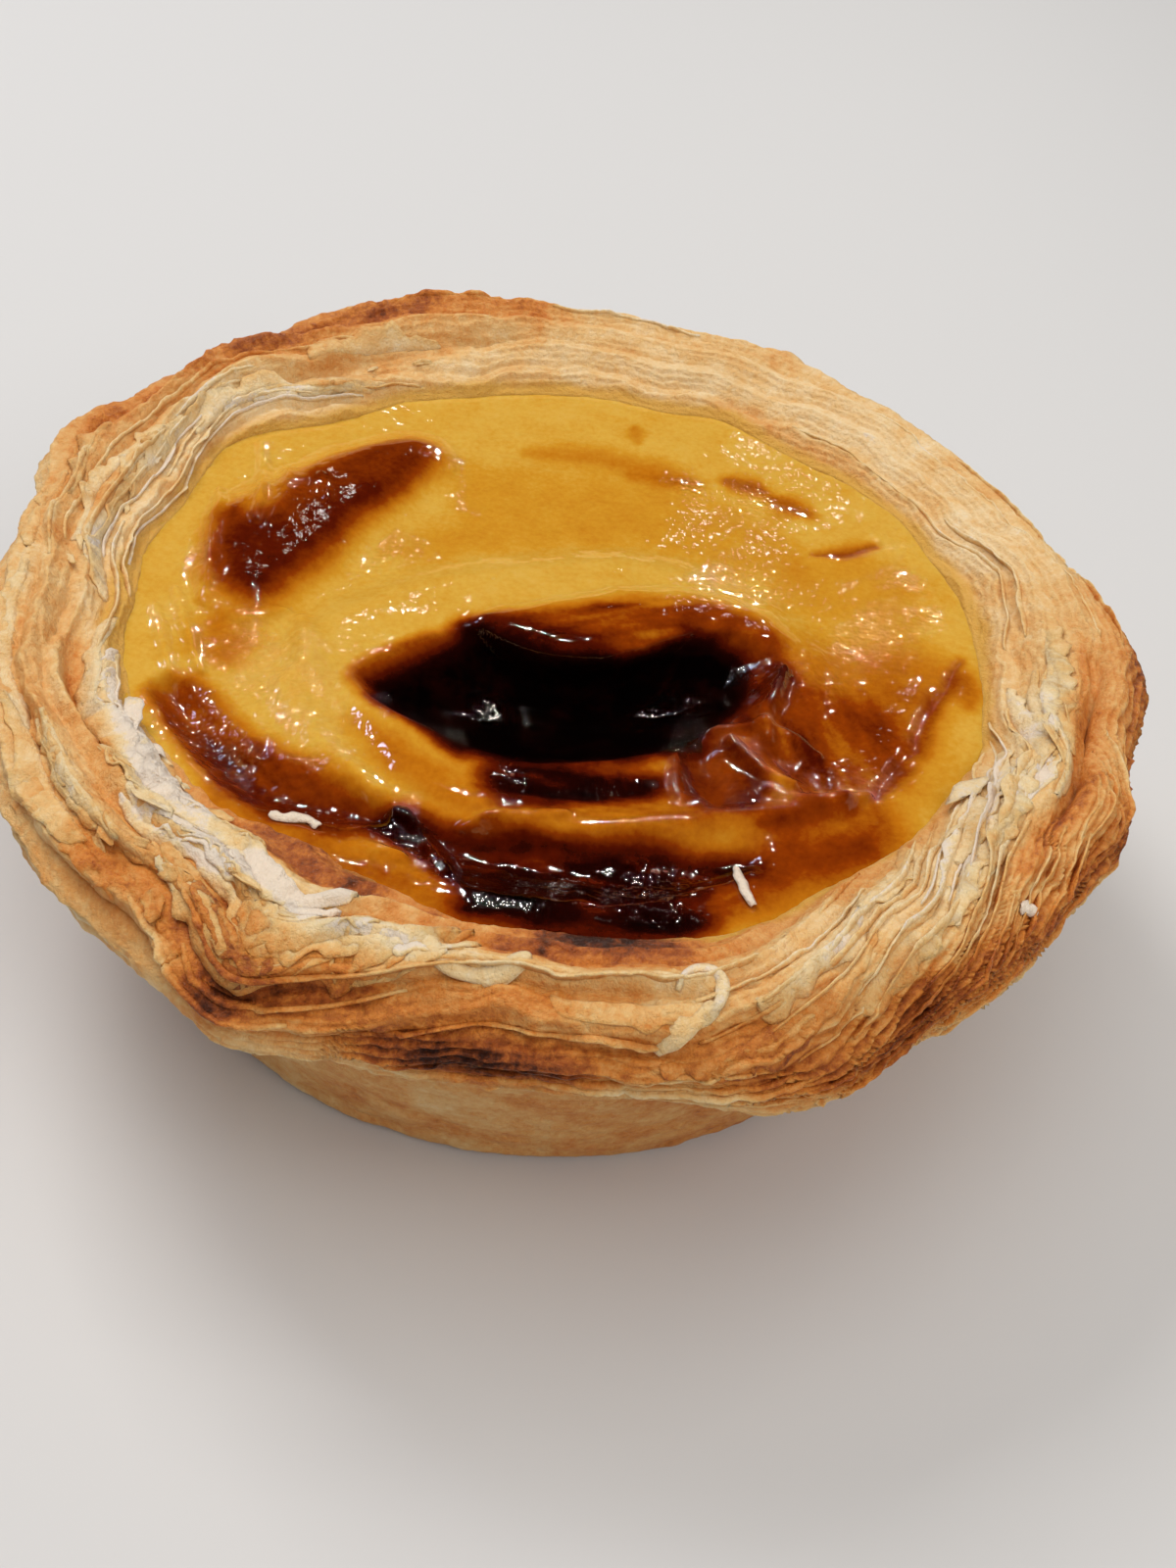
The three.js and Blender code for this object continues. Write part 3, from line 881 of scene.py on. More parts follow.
def make_leaves(size, material):
    """Thin leaf edges that stand up along the layer lines of the rim, broken and ragged."""
    draw = np.random.default_rng(5)
    made = []
    crossings = EDGE_SHARE + WINDING_CROSSINGS
    turn_end = TURN_START + FULL_TURN
    for number in range(1, int(size.layers * LEAF_LINES * crossings)):
        phase = number / LEAF_LINES + draw.uniform(-0.06, 0.06)
        start = TURN_START + draw.uniform(*RUN_START)
        while start < turn_end:
            end = min(start + draw.uniform(*RUN_LENGTH), turn_end)
            angle = np.arange(start, end, LEAF_STEP)
            share = share_of(angle, phase, size.layers)
            line = smooth_rim(angle, share, size)
            gape = gap_depth(angle, np.hypot(line[:, 0], line[:, 1]))
            held = (share > LEAF_SHARES[0]) & (share < LEAF_SHARES[1]) & (gape < LEAF_GAPE)
            runs = np.flatnonzero(np.diff(np.concatenate([[0], held.astype(int), [0]])))
            for low, high in zip(runs[::2], runs[1::2]):
                middle = (low + high) // 2
                leaves = leaves_at(angle[middle], share[middle])
                bare = min(max(leaves.crumbly, 1.1 * leaves.soft), 1.0)
                if high - low > FEWEST_STEPS and draw.random() > bare:
                    made.append(standing_leaf(angle[low:high], share[low:high], size, draw))
            start = end + draw.uniform(*RUN_BREAK)
    make_leafy_piece("pastry_leaves", made, material, "pastry_crust")


# ---- Flakes, strips and sheets that lie on the rim ----

FLAKE_STEPS = 6
FLAKE_SIZE = (0.5, 1.15)  # shares of the usual reach
FLAKE_WIDTH = (0.22, 0.42)  # shares of the flake's own reach, as is its curl
FLAKE_CURL = (0.05, 0.22)
FLAKE_TILT = (-0.5, 0.6)
FLAKE_LIFT = 0.12
FLAKE_TOAST = (-0.08, 0.08)
STRIP_ROWS = 5
STRIP_SMOOTHING = 9  # points over which a strip's line is smoothed
STRIP_LIFT = 0.22  # how far a strip lies over the surface, and its thickness, in mm
CURVE_STEPS = 8

# Torn flakes: angle, half-width in degrees, share, half-width as a share, how many, reach in mm and change
# of their baking.
TORN_PLACES = (
    (216, 12, 0.14, 0.06, 4, 1.4, -0.1), (236, 14, 0.38, 0.12, 7, 1.4, -0.1),
    (236, 22, 0.74, 0.12, 6, 1.2, 0.02), (184, 16, 0.4, 0.2, 3, 1.1, -0.04),
    (132, 34, 0.26, 0.16, 6, 0.8, -0.04), (334, 16, 0.28, 0.12, 6, 1.6, -0.04),
)

# Strips: half-width in mm, tilt, how far it is baked, and angles and shares along it. First the crumb that
# fell on the rim, then the curl and the leg of a hooked strip, and last an arc.
RIM_STRIPS = (
    (0.5, 0.0, -0.1, ((319.8, 0.85), (320.3, 0.89), (321.2, 0.94))),
    (0.38, 0.2, 0.08, ((285.0, 0.67), (285.8, 0.57), (287.5, 0.5), (289.2, 0.55), (288.9, 0.65),
        (287.8, 0.74), (286.6, 0.79))),
    (0.6, 0.2, 0.14, ((288.2, 0.7), (286.6, 0.79), (284.6, 0.86), (282.6, 0.98))),
    (0.6, 0.1, 0.12, ((262.4, 0.36), (262.8, 0.52), (264.8, 0.66), (267.8, 0.7), (270.4, 0.64),
        (272.4, 0.48))),
)

# Torn sheets with a ragged free edge: angle, half-width in degrees, share, half-width as a share, how many
# and change of their baking.
SHEET_PLACES = (
    (214, 10, 0.1, 0.06, 7, -0.1), (226, 8, 0.22, 0.11, 8, -0.12), (241, 8, 0.4, 0.11, 9, -0.12),
    (256, 6, 0.56, 0.1, 4, -0.1), (228, 26, 0.74, 0.2, 14, 0.0), (180, 18, 0.5, 0.36, 7, -0.04),
    (138, 28, 0.3, 0.24, 8, -0.04), (350, 16, 0.28, 0.2, 9, 0.0), (330, 16, 0.32, 0.2, 9, -0.03),
    (306, 12, 0.42, 0.22, 3, -0.03), (290, 7, 0.62, 0.24, 2, 0.0),
)
SHEET_STEP = 0.4  # degrees between a sheet's points
SHEET_ROWS = 7
SHEET_RADIUS = 32.0  # the sheets' usual distance from the axis in mm
SHEET_SHARES = (0.02, 1.15)  # where sheets lie
SHEET_LENGTH = (9.0, 26.0)  # degrees
SHEET_WIDTH = (0.08, 0.20)  # shares
SHEET_LIFT = (0.0, 0.22)  # mm
FEWEST_POINTS = 8  # a sheet's line has at least these
STEEPEST_STEP = 0.02  # the largest share that a sheet's line crosses between two points
SPANNED_GAP = 1.6  # the deepest gap in mm that a sheet lies across


def smooth_path(corners, closed=False):
    """A smooth curve through given points."""
    corners = np.asarray(corners, float)
    if closed:
        padded = np.vstack([corners[-1:], corners, corners[:2]])
    else:
        padded = np.vstack([2 * corners[:1] - corners[1:2], corners, 2 * corners[-1:] - corners[-2:-1]])
    t = np.linspace(0.0, 1.0, CURVE_STEPS, endpoint=False)[:, None]
    runs = []
    for before, start, end, after in zip(padded[:-3], padded[1:-2], padded[2:-1], padded[3:]):
        straight = 2 * start + (end - before) * t
        curved = (2 * before - 5 * start + 4 * end - after) * t**2
        turning = (3 * start - before - 3 * end + after) * t**3
        runs.append(0.5 * (straight + curved + turning))
    if not closed:
        runs.append(padded[-2:-1])
    return np.vstack(runs)


def flake_grid(draw, reach):
    """A small ragged curled flake in mm: places across, along and off the surface, and its thickness."""
    across, along = disc(FLAKE_STEPS)
    round_it = np.arctan2(along, across)
    drift = draw.uniform(0.0, 60.0)
    ragged = 1.0 + 0.45 * noise(np.cos(round_it) * 1.7 + drift, np.sin(round_it) * 1.7)
    width = reach * draw.uniform(*FLAKE_WIDTH)
    curl = draw.uniform(*FLAKE_CURL)
    off = reach * (curl * across**2 + 0.14 * noise(across * 1.2 + drift, along * 2.2 + 9.0))
    thickness = 0.05 + 0.13 * clamp(1.0 - np.hypot(across, along) ** 3)
    return width * ragged * across, reach * ragged * along, off, thickness


def torn_flake(angle, share, reach, change, size, draw):
    """One torn flake that lies on the rim."""
    root, outward, inward, _ = rim_surface(angle, share, size)
    around = np.cross(inward, outward)
    across, along, off, thickness = flake_grid(draw, reach * draw.uniform(*FLAKE_SIZE))
    turn = draw.normal(0.0, 0.22)
    tilt = draw.uniform(*FLAKE_TILT)
    side = np.cos(turn) * across - np.sin(turn) * along
    run = np.sin(turn) * across + np.cos(turn) * along
    off = off + tilt * side + FLAKE_LIFT
    middle = root + side[..., None] * inward + run[..., None] * around + off[..., None] * outward
    baked = rim_bake(angle, share, root) + change + draw.uniform(*FLAKE_TOAST)
    bake = baked + 0.05 * np.hypot(across, along) / reach
    return leaf(middle, thickness, bake, np.full(bake.shape, 0.05))


def strip(root, outward, half_width, tilt, bake, draw):
    """A thin ragged strip of pastry along a line of places, tilted to one side by a share of its width."""
    smoothing = np.full(STRIP_SMOOTHING, 1.0 / STRIP_SMOOTHING)
    padded = np.pad(root, ((STRIP_SMOOTHING // 2,) * 2, (0, 0)), mode="edge")
    root = np.stack([np.convolve(axis, smoothing, mode="valid") for axis in padded.T], -1)
    beside = unit(np.cross(outward, np.gradient(root, axis=0)))
    along = np.linspace(0.0, 1.0, len(root))
    across = np.linspace(-1.0, 1.0, STRIP_ROWS)[:, None]
    drift = draw.uniform(0.0, 50.0)
    blunt = np.sin(np.pi * clamp(along, 0.02, 0.98)) ** 0.3
    ragged = 0.1 + blunt * (0.7 + 0.5 * noise(along * 6.0 + drift, across * 1.5))
    lifted = STRIP_LIFT - 0.12 * across**2 + tilt * half_width * across
    lifted = lifted + 0.04 * noise(along * 8.0 + drift, across * 2.0 + 9.0)
    side = across * ragged * half_width
    middle = root[None] + beside[None] * side[..., None] + outward[None] * lifted[..., None]
    thickness = STRIP_LIFT * (0.4 + 0.6 * np.sin(np.pi * along)) * (1.0 - 0.5 * across**2)
    return leaf(middle, thickness, np.full(lifted.shape, bake), np.zeros(lifted.shape))


def make_flakes(size, material):
    """Torn flakes and strips that lie on the rim, curled and ragged."""
    draw = np.random.default_rng(23)
    flakes = []
    for half_width, tilt, bake, corners in RIM_STRIPS:
        root, outward, _, _ = rim_surface(*smooth_path(corners).T, size)
        flakes.append(strip(root, outward, half_width, tilt, bake, draw))
    for at, spread, centre, width, count, reach, change in TORN_PLACES:
        for _ in range(count):
            angle = np.array([at + spread * clamp(draw.normal(0.0, 0.6), -1.4, 1.4)])
            share = np.array([clamp(centre + width * draw.normal(0.0, 0.6), 0.06, 0.97)])
            flakes.append(torn_flake(angle, share, reach, change, size, draw))
    make_leafy_piece("pastry_flakes", flakes, material, "pastry_crust")


def torn_sheet(at, attached, length, width, change, size, draw):
    """One torn sheet along the rim, with its free edge ragged and lifted, or nothing where it can't lie."""
    angle = at + np.arange(-length / 2.0, length / 2.0, SHEET_STEP)
    attached = share_of(angle, layer_phase(at, attached, size.layers), size.layers)
    held = (attached > SHEET_SHARES[0]) & (attached < SHEET_SHARES[1])
    angle = angle[held]
    attached = attached[held]
    drift = draw.uniform(0.0, 50.0)
    if len(angle) < FEWEST_POINTS or np.abs(np.diff(attached)).max() > STEEPEST_STEP:
        return None
    along = np.linspace(0.0, 1.0, len(angle))
    arc = np.radians(angle) * SHEET_RADIUS
    taper = np.sin(np.pi * along) ** 0.4
    ragged = taper * (0.8 + 0.55 * noise(arc / 3.2, drift) + 0.35 * noise(arc / 0.8, drift + 9.0))
    attached = attached + 0.03 * noise(arc / 4.0, drift + 17.0)
    free = attached + width * clamp(ragged, 0.05, 1.5)
    root, outward, _, _ = rim_surface(angle, attached, size)
    tip, _, _, _ = rim_surface(angle, free, size)
    over = np.linspace(-0.12, 1.0, SHEET_ROWS)[:, None]
    middle = mix(root, tip, over[..., None])
    wave = 0.07 * noise(arc / 2.2, over * 2.0 + drift) + 0.03 * noise(arc / 0.7, over * 4.0 + drift)
    bow = draw.uniform(*SHEET_LIFT) * np.sin(np.pi / 2 * clamp(over)) + 0.02 + wave
    middle = middle + outward * (bow * mix(0.3, 1.0, taper) - 0.5 * (over < 0.0))[..., None]
    thickness = mix(0.34, 0.12, clamp(over)) * np.ones(len(angle))
    bake = rim_bake(angle, mix(attached, free, over), middle) + change + 0.06 * clamp(over) ** 4
    if gap_depth(angle, np.hypot(middle[..., 0], middle[..., 1])).max() > SPANNED_GAP:
        return None
    return leaf(middle, thickness, bake, 0.0 * bake)


def make_sheets(size, material):
    """The torn sheets of the rim."""
    draw = np.random.default_rng(8)
    sheets = []
    for at, spread, centre, across, count, change in SHEET_PLACES:
        for _ in range(count):
            angle = at + spread * clamp(draw.normal(0.0, 0.6), -1.3, 1.3)
            share = clamp(centre + across * draw.normal(0.0, 0.6), 0.03, 1.1)
            length = draw.uniform(*SHEET_LENGTH)
            width = draw.uniform(*SHEET_WIDTH)
            baked = change + draw.normal(0.0, 0.08)
            sheets.append(torn_sheet(angle, share, length, width, baked, size, draw))
    sheets = [sheet for sheet in sheets if sheet is not None]
    make_leafy_piece("pastry_sheets", sheets, material, "pastry_crust")


# ---- The cup below the lip ----

CUP_COLUMNS = 600
FOOT_ROWS = 24
ROUNDING_ROWS = 8
WALL_ROWS = 69
INSIDE_ROWS = 3
RELIEF_FROM = 6  # rows of the foot, counted in from its edge, that share the wall's dents

# The wall's dents, the changes of its baking and its blisters, as grains.
WALL_DENTS = ((0.25, 7.0, 1.6, 3, 0.0), (0.16, 1.6, 2.4, 3, 0.0), (0.05, 0.5, 1.0, 2, 0.0))
WALL_MOTTLE = ((0.18, 6.0, 1.8, 3, 0.0), (0.12, 1.8, 1.5, 3, 17.0))
WALL_BLISTERS = ((1.0, 4.2, 1.8, 2, 31.0),)
WALL_BAKE = 0.40
FOOT_BAKE = 0.16  # how much more the foot is baked
# Painted shade: the wall is darker round its front right, where it lies in shadow.
WALL_PAINTED_SHADE = ((300, 0.10, 40),)


def cup_profile(angle, size):
    """The cup without dents: out over the foot, up the wall and down inside. Also the wall's top."""
    rim = rim_at(angle, size)
    foot = size.foot_radius / MM
    flat = np.linspace(0.05, 1.0, FOOT_ROWS)[:, None]
    turn = np.linspace(0.0, np.pi / 2, ROUNDING_ROWS + 1)[1:, None]
    wall = np.linspace(0.0, 1.0, WALL_ROWS + 1)[1:, None]
    wall_top = np.minimum(NECK_HEIGHT, rim.underside) + 1.0
    floor = np.full_like(angle, FLOOR_THICKNESS)
    parts = (
        (flat * (foot - FOOT_ROUNDING), 0.0),
        (foot - FOOT_ROUNDING + FOOT_ROUNDING * np.sin(turn), FOOT_ROUNDING * (1.0 - np.cos(turn))),
        (mix(foot, size.neck_radius / MM, wall), mix(FOOT_ROUNDING, wall_top, wall)),
        (rim.mouth - 1.2, wall_top),
        (FLOOR_RADIUS, floor),
        (0.5, floor),
    )
    return np.vstack([round_point(angle, radius, height) for radius, height in parts]), wall_top


def make_cup(size, material):
    """The cup below the lip: a flat foot, the flared wall and the inner wall behind the custard."""
    angle = np.arange(CUP_COLUMNS)[None, :] * (FULL_TURN / CUP_COLUMNS)
    base, wall_top = cup_profile(angle, size)
    rows = len(base)
    dents = grains(base, WALL_DENTS)
    blisters = clamp(grains(base, WALL_BLISTERS) - 0.25)
    relief = dents + 0.7 * blisters
    relief[: FOOT_ROWS - RELIEF_FROM] = 0.0
    relief[rows - INSIDE_ROWS :] = 0.0
    relief[:FOOT_ROWS] = np.minimum(relief[:FOOT_ROWS], 0.0)
    points = base + grid_normals(base, True) * relief[..., None]
    points[..., 2] = np.maximum(points[..., 2], 0.0)
    bake = WALL_BAKE - 0.08 * base[..., 2] / wall_top + grains(base, WALL_MOTTLE) - 0.3 * blisters
    # Painted shade on the front right of the wall.
    bake = bake + swell(WALL_PAINTED_SHADE, angle)
    bake[:FOOT_ROWS] += FOOT_BAKE
    # Painted shade in the wall's dents.
    cleft = clamp(-2.0 * dents, 0.0, 0.6)
    ring = np.arange(CUP_COLUMNS)
    foot_centre = rows * CUP_COLUMNS
    bottom = fan(ring, foot_centre)
    top = fan(ring + foot_centre - CUP_COLUMNS, foot_centre + 1)[:, [1, 0, 2]]
    points = np.vstack([points.reshape(-1, 3), [[0, 0, 0], [0, 0, FLOOR_THICKNESS]]])
    faces = [grid_quads(rows, CUP_COLUMNS, closed_round=True), bottom, top]
    values = {"bake": np.append(bake.ravel(), (0.5, 0.3)), "cleft": np.append(cleft.ravel(), (0.0, 0.0))}
    make_piece("pastry_cup", points, faces, values, material, "pastry_crust")


# ---- The custard ----

CUSTARD_STEPS = 310
SKIN_OVERLAP = 0.5  # how far the skin reaches into the pastry
CUSTARD_FOOT = FLOOR_THICKNESS + 0.3
CUSTARD_FOOT_RADIUS = FLOOR_RADIUS - 0.4


def path_distance(x, y, path, closed=False):
    """Distance in mm from each place to a path, and how far along the path the nearest point is, 0 to 1."""
    ends = np.roll(path, -1, axis=0) if closed else path[1:]
    least = np.full(x.shape, np.inf)
    along = np.zeros(x.shape)
    for number, (start, end) in enumerate(zip(path, ends)):
        run = end - start
        share = ((x - start[0]) * run[0] + (y - start[1]) * run[1]) / max(run @ run, 1e-12)
        share = clamp(share)
        away = np.hypot(x - start[0] - share * run[0], y - start[1] - share * run[1])
        nearer = away < least
        least = np.where(nearer, away, least)
        along = np.where(nearer, (number + share) / len(ends), along)
    return least, along


def inside(x, y, path):
    """Whether each place lies within a closed path."""
    within = np.zeros(x.shape, bool)
    for start, end in zip(path, np.roll(path, -1, axis=0)):
        crosses = (start[1] > y) != (end[1] > y)
        rise = end[1] - start[1] if end[1] != start[1] else 1e-12
        within ^= crosses & (x < start[0] + (end[0] - start[0]) * (y - start[1]) / rise)
    return within


def nearby(x, y, path, margin):
    """Whether each place lies within a margin of the box round a path."""
    low = path.min(axis=0) - margin
    high = path.max(axis=0) + margin
    return (x > low[0]) & (x < high[0]) & (y > low[1]) & (y < high[1])


def stroke(x, y, corners, half_width, steepness=2.0):
    """1 along a curve, falling to nothing about its half-width away, with thinning ends."""
    path = smooth_path(corners)
    near = nearby(x, y, path, 3.0 * half_width)
    away, along = path_distance(x[near], y[near], path)
    taper = 0.55 + 0.45 * np.sin(np.pi * along) ** 0.5
    strength = np.zeros(x.shape)
    strength[near] = np.exp(-((away / (half_width * taper)) ** steepness))
    return strength


def patch(x, y, corners, softness):
    """1 well within a closed outline and 0 well outside it, with a soft edge."""
    path = smooth_path(corners, closed=True)
    near = nearby(x, y, path, softness)
    near_x, near_y = x[near], y[near]
    away, _ = path_distance(near_x, near_y, path, closed=True)
    strength = np.zeros(x.shape)
    strength[near] = ease(np.where(inside(near_x, near_y, path), away, -away), -softness, softness)
    return strength


# Places on the skin are x and y in mm.
# The sunken middle: the flap of skin that hangs over its back edge, and its other, gentler edges.
FLAP_EDGE = ((-5.6, -3.0), (-3, -4.4), (0, -5), (3, -4.5), (6, -2.6), (9, -0.6))
GENTLE_EDGE = (
    (9, -0.6), (12, -0.4), (13.8, -2.2), (13.6, -5), (12, -8.4), (9, -11.5), (5, -13.4), (0, -14.9),
    (-4, -14.2), (-8, -12.6), (-11.4, -10.4), (-12.4, -8.2), (-10.2, -5.6), (-8, -3.8), (-5.6, -3.0),
)
MIDDLE_DEPTH = 3.5
FLAP_RUN = 0.6
FLAP_TUCK = 1.5
GENTLE_RUN = 7.0

# Raised parts of the skin: rise and softness in mm, outline.
ISLAND = (
    (-14.8, -1.5), (-9, 2.7), (-1, 6.3), (5.5, 7.6), (11, 5.8), (15.5, 2.5), (17.5, -3), (17, -9),
    (14.5, -14.5), (8, -18.4), (0, -19.6), (-5, -19.8), (-8, -18), (-10.5, -15), (-12.5, -12.6),
    (-15.4, -11), (-16.4, -7),
)
BLISTER = (
    (-24.6, 4.6), (-24.0, 0.8), (-22.3, -2.2), (-19.6, -2.8), (-17.2, 0.9), (-15.3, 5.6), (-12.8, 11.6),
    (-10.8, 15.5), (-11.2, 18.4), (-13.6, 19.0), (-16.8, 16.8), (-19.6, 13.6), (-22.0, 10.6),
    (-23.9, 8.0),
)
SCORCHED_BLISTER = (
    (-24.3, 6.4), (-24.4, 3.2), (-23.8, 0.2), (-22.3, -2.0), (-19.7, -2.8), (-17.3, 0.9), (-15.4, 5.6),
    (-12.9, 11.8), (-10.9, 15.4), (-11.7, 18.2), (-14.4, 18.0), (-17.1, 15.2), (-19.3, 12.4),
    (-20.5, 9.8), (-21.0, 7.2), (-22.2, 6.0), (-23.2, 7.2),
)
FLAP_SKIN = (
    (-5.2, -2.4), (-2, -0.5), (1, 1.1), (4, 2.5), (8, 3.4), (11, 3.2), (13.6, 1.8), (15, -0.4),
    (13, -1.4), (9, -0.4), (6, -2.2), (3, -4.2), (0, -4.8), (-3, -4.2),
)
SKIN_PATCHES = ((0.6, 1.8, ISLAND), (1.2, 1.9, BLISTER), (0.8, 1.1, FLAP_SKIN))

# Ridges and grooves of the skin: half-width and rise in mm, path, and steepness where it isn't the usual.
LEFT_LOBE = ((-23.4, -11.4), (-21, -14.4), (-18.6, -17.2), (-15.6, -18.9), (-12, -19.6), (-9, -20))
RIGHT_LOBE = ((-6.4, -21.4), (-3, -22.4), (1, -22.8), (5, -22.5), (9, -21.5), (12.6, -20.2))
ROLL = ((-2.4, -20), (3, -19.7), (8, -18.5), (13, -16.9), (18.4, -14.9))
RIGHT_CREASE = ((26.6, 1), (25.2, -3), (23.9, -7), (22.6, -10.2), (20.4, -13.7))
BACK_BAND = ((-6, 19.6), (0, 19.8), (6, 19), (12, 18.8), (17, 16.6))
SKIN_STROKES = (
    # folds left of the sunken middle
    (1.1, 0.5, ((-17, -3.5), (-16, -6), (-15.6, -8.6), (-16.4, -10.6), (-14.6, -13.4), (-12, -16.2),
        (-9.4, -18.6))),
    (0.9, -0.2, ((-13.4, -8.4), (-12.6, -11.6), (-10, -15.4), (-6.4, -18.8), (0, -19.2))),
    # fine folds along the left edge and over the blister
    (0.5, 0.35, ((-25.4, -2), (-23.6, -6), (-21.6, -9.8))),
    (0.5, 0.3, ((-26.2, -4), (-24.6, -8), (-22.6, -11.4))),
    (0.6, 0.35, ((-24.2, 0), (-22.8, -3.2), (-20.4, -4.1), (-18, -3))),
    (0.5, 0.45, ((-25.2, 9.5), (-24.7, 6), (-24.1, 2.5), (-23, -1.6))),
    (0.5, 0.4, ((-23.6, 16), (-22.9, 13), (-22.1, 9), (-21.7, 5))),
    (0.6, 0.35, ((-21, 12.4), (-20.4, 8.6), (-20.8, 4.6))),
    (0.5, 0.3, ((-18.6, 11.4), (-17.4, 8.6))),
    # the lobes at the front and their rims
    (1.8, -1.1, LEFT_LOBE, 2.4),
    (0.7, 0.55, ((-24.4, -12.4), (-22, -16), (-19.8, -18.9), (-17, -21.2), (-14.4, -22.8), (-10, -23.2),
        (-7, -23.8))),
    (2.2, -0.9, RIGHT_LOBE),
    (0.6, 0.2, ((-6, -24.8), (-3, -25.5), (1, -25.7), (5, -25.2), (8.4, -24), (11.4, -22.3),
        (13, -21))),
    (0.55, 0.45, ((-8.0, -19.8), (-6.2, -21.4), (-4.6, -23.2), (-3.6, -24.8))),
    (0.5, 0.4, ((-4, -20.6), (-1.6, -19.6), (2, -19))),
    # the roll behind them and the dip beside it
    (1.2, 0.7, ROLL),
    (1.4, -0.1, ((-2.6, -16.6), (1.6, -16.4), (6.4, -15.4))),
    # the knot right of the sunken middle
    (0.7, 0.8, ((14.6, -3.8), (14.2, -6), (13.4, -8.2), (13.8, -10.4))),
    (0.45, 0.45, ((9.8, -10.2), (12.6, -9.3), (15, -9.7), (17.2, -10.8))),
    (0.55, 0.75, ((11.4, -10.7), (12.4, -12), (13.6, -13.4), (15.4, -14.1))),
    (1.1, -0.6, ((14.8, -11.4), (17.4, -12.8))),
    (0.7, 0.5, ((13.8, -14.6), (17, -15), (20, -13.8))),
    (1.6, -0.8, ((9.8, -12), (10.8, -15.6))),
    (0.5, 0.5, ((8.2, -12.6), (8.4, -15), (8.8, -16.6))),
    # creases on the right
    (0.7, -0.3, RIGHT_CREASE),
    (0.9, 0.08, ((27.2, -1.4), (25.4, -6.2), (23.8, -10.4), (21.8, -14))),
    (1.0, 0.08, ((24, -2), (22.6, -7), (21, -11))),
    # the band and the fold at the back
    (1.6, -0.07, BACK_BAND),
    (0.6, -0.2, ((17.2, 11.4), (19.4, 12), (21.8, 13.4))),
    (0.5, 0.12, ((17, 10.6), (20, 11.2), (22.6, 12.8))),
)

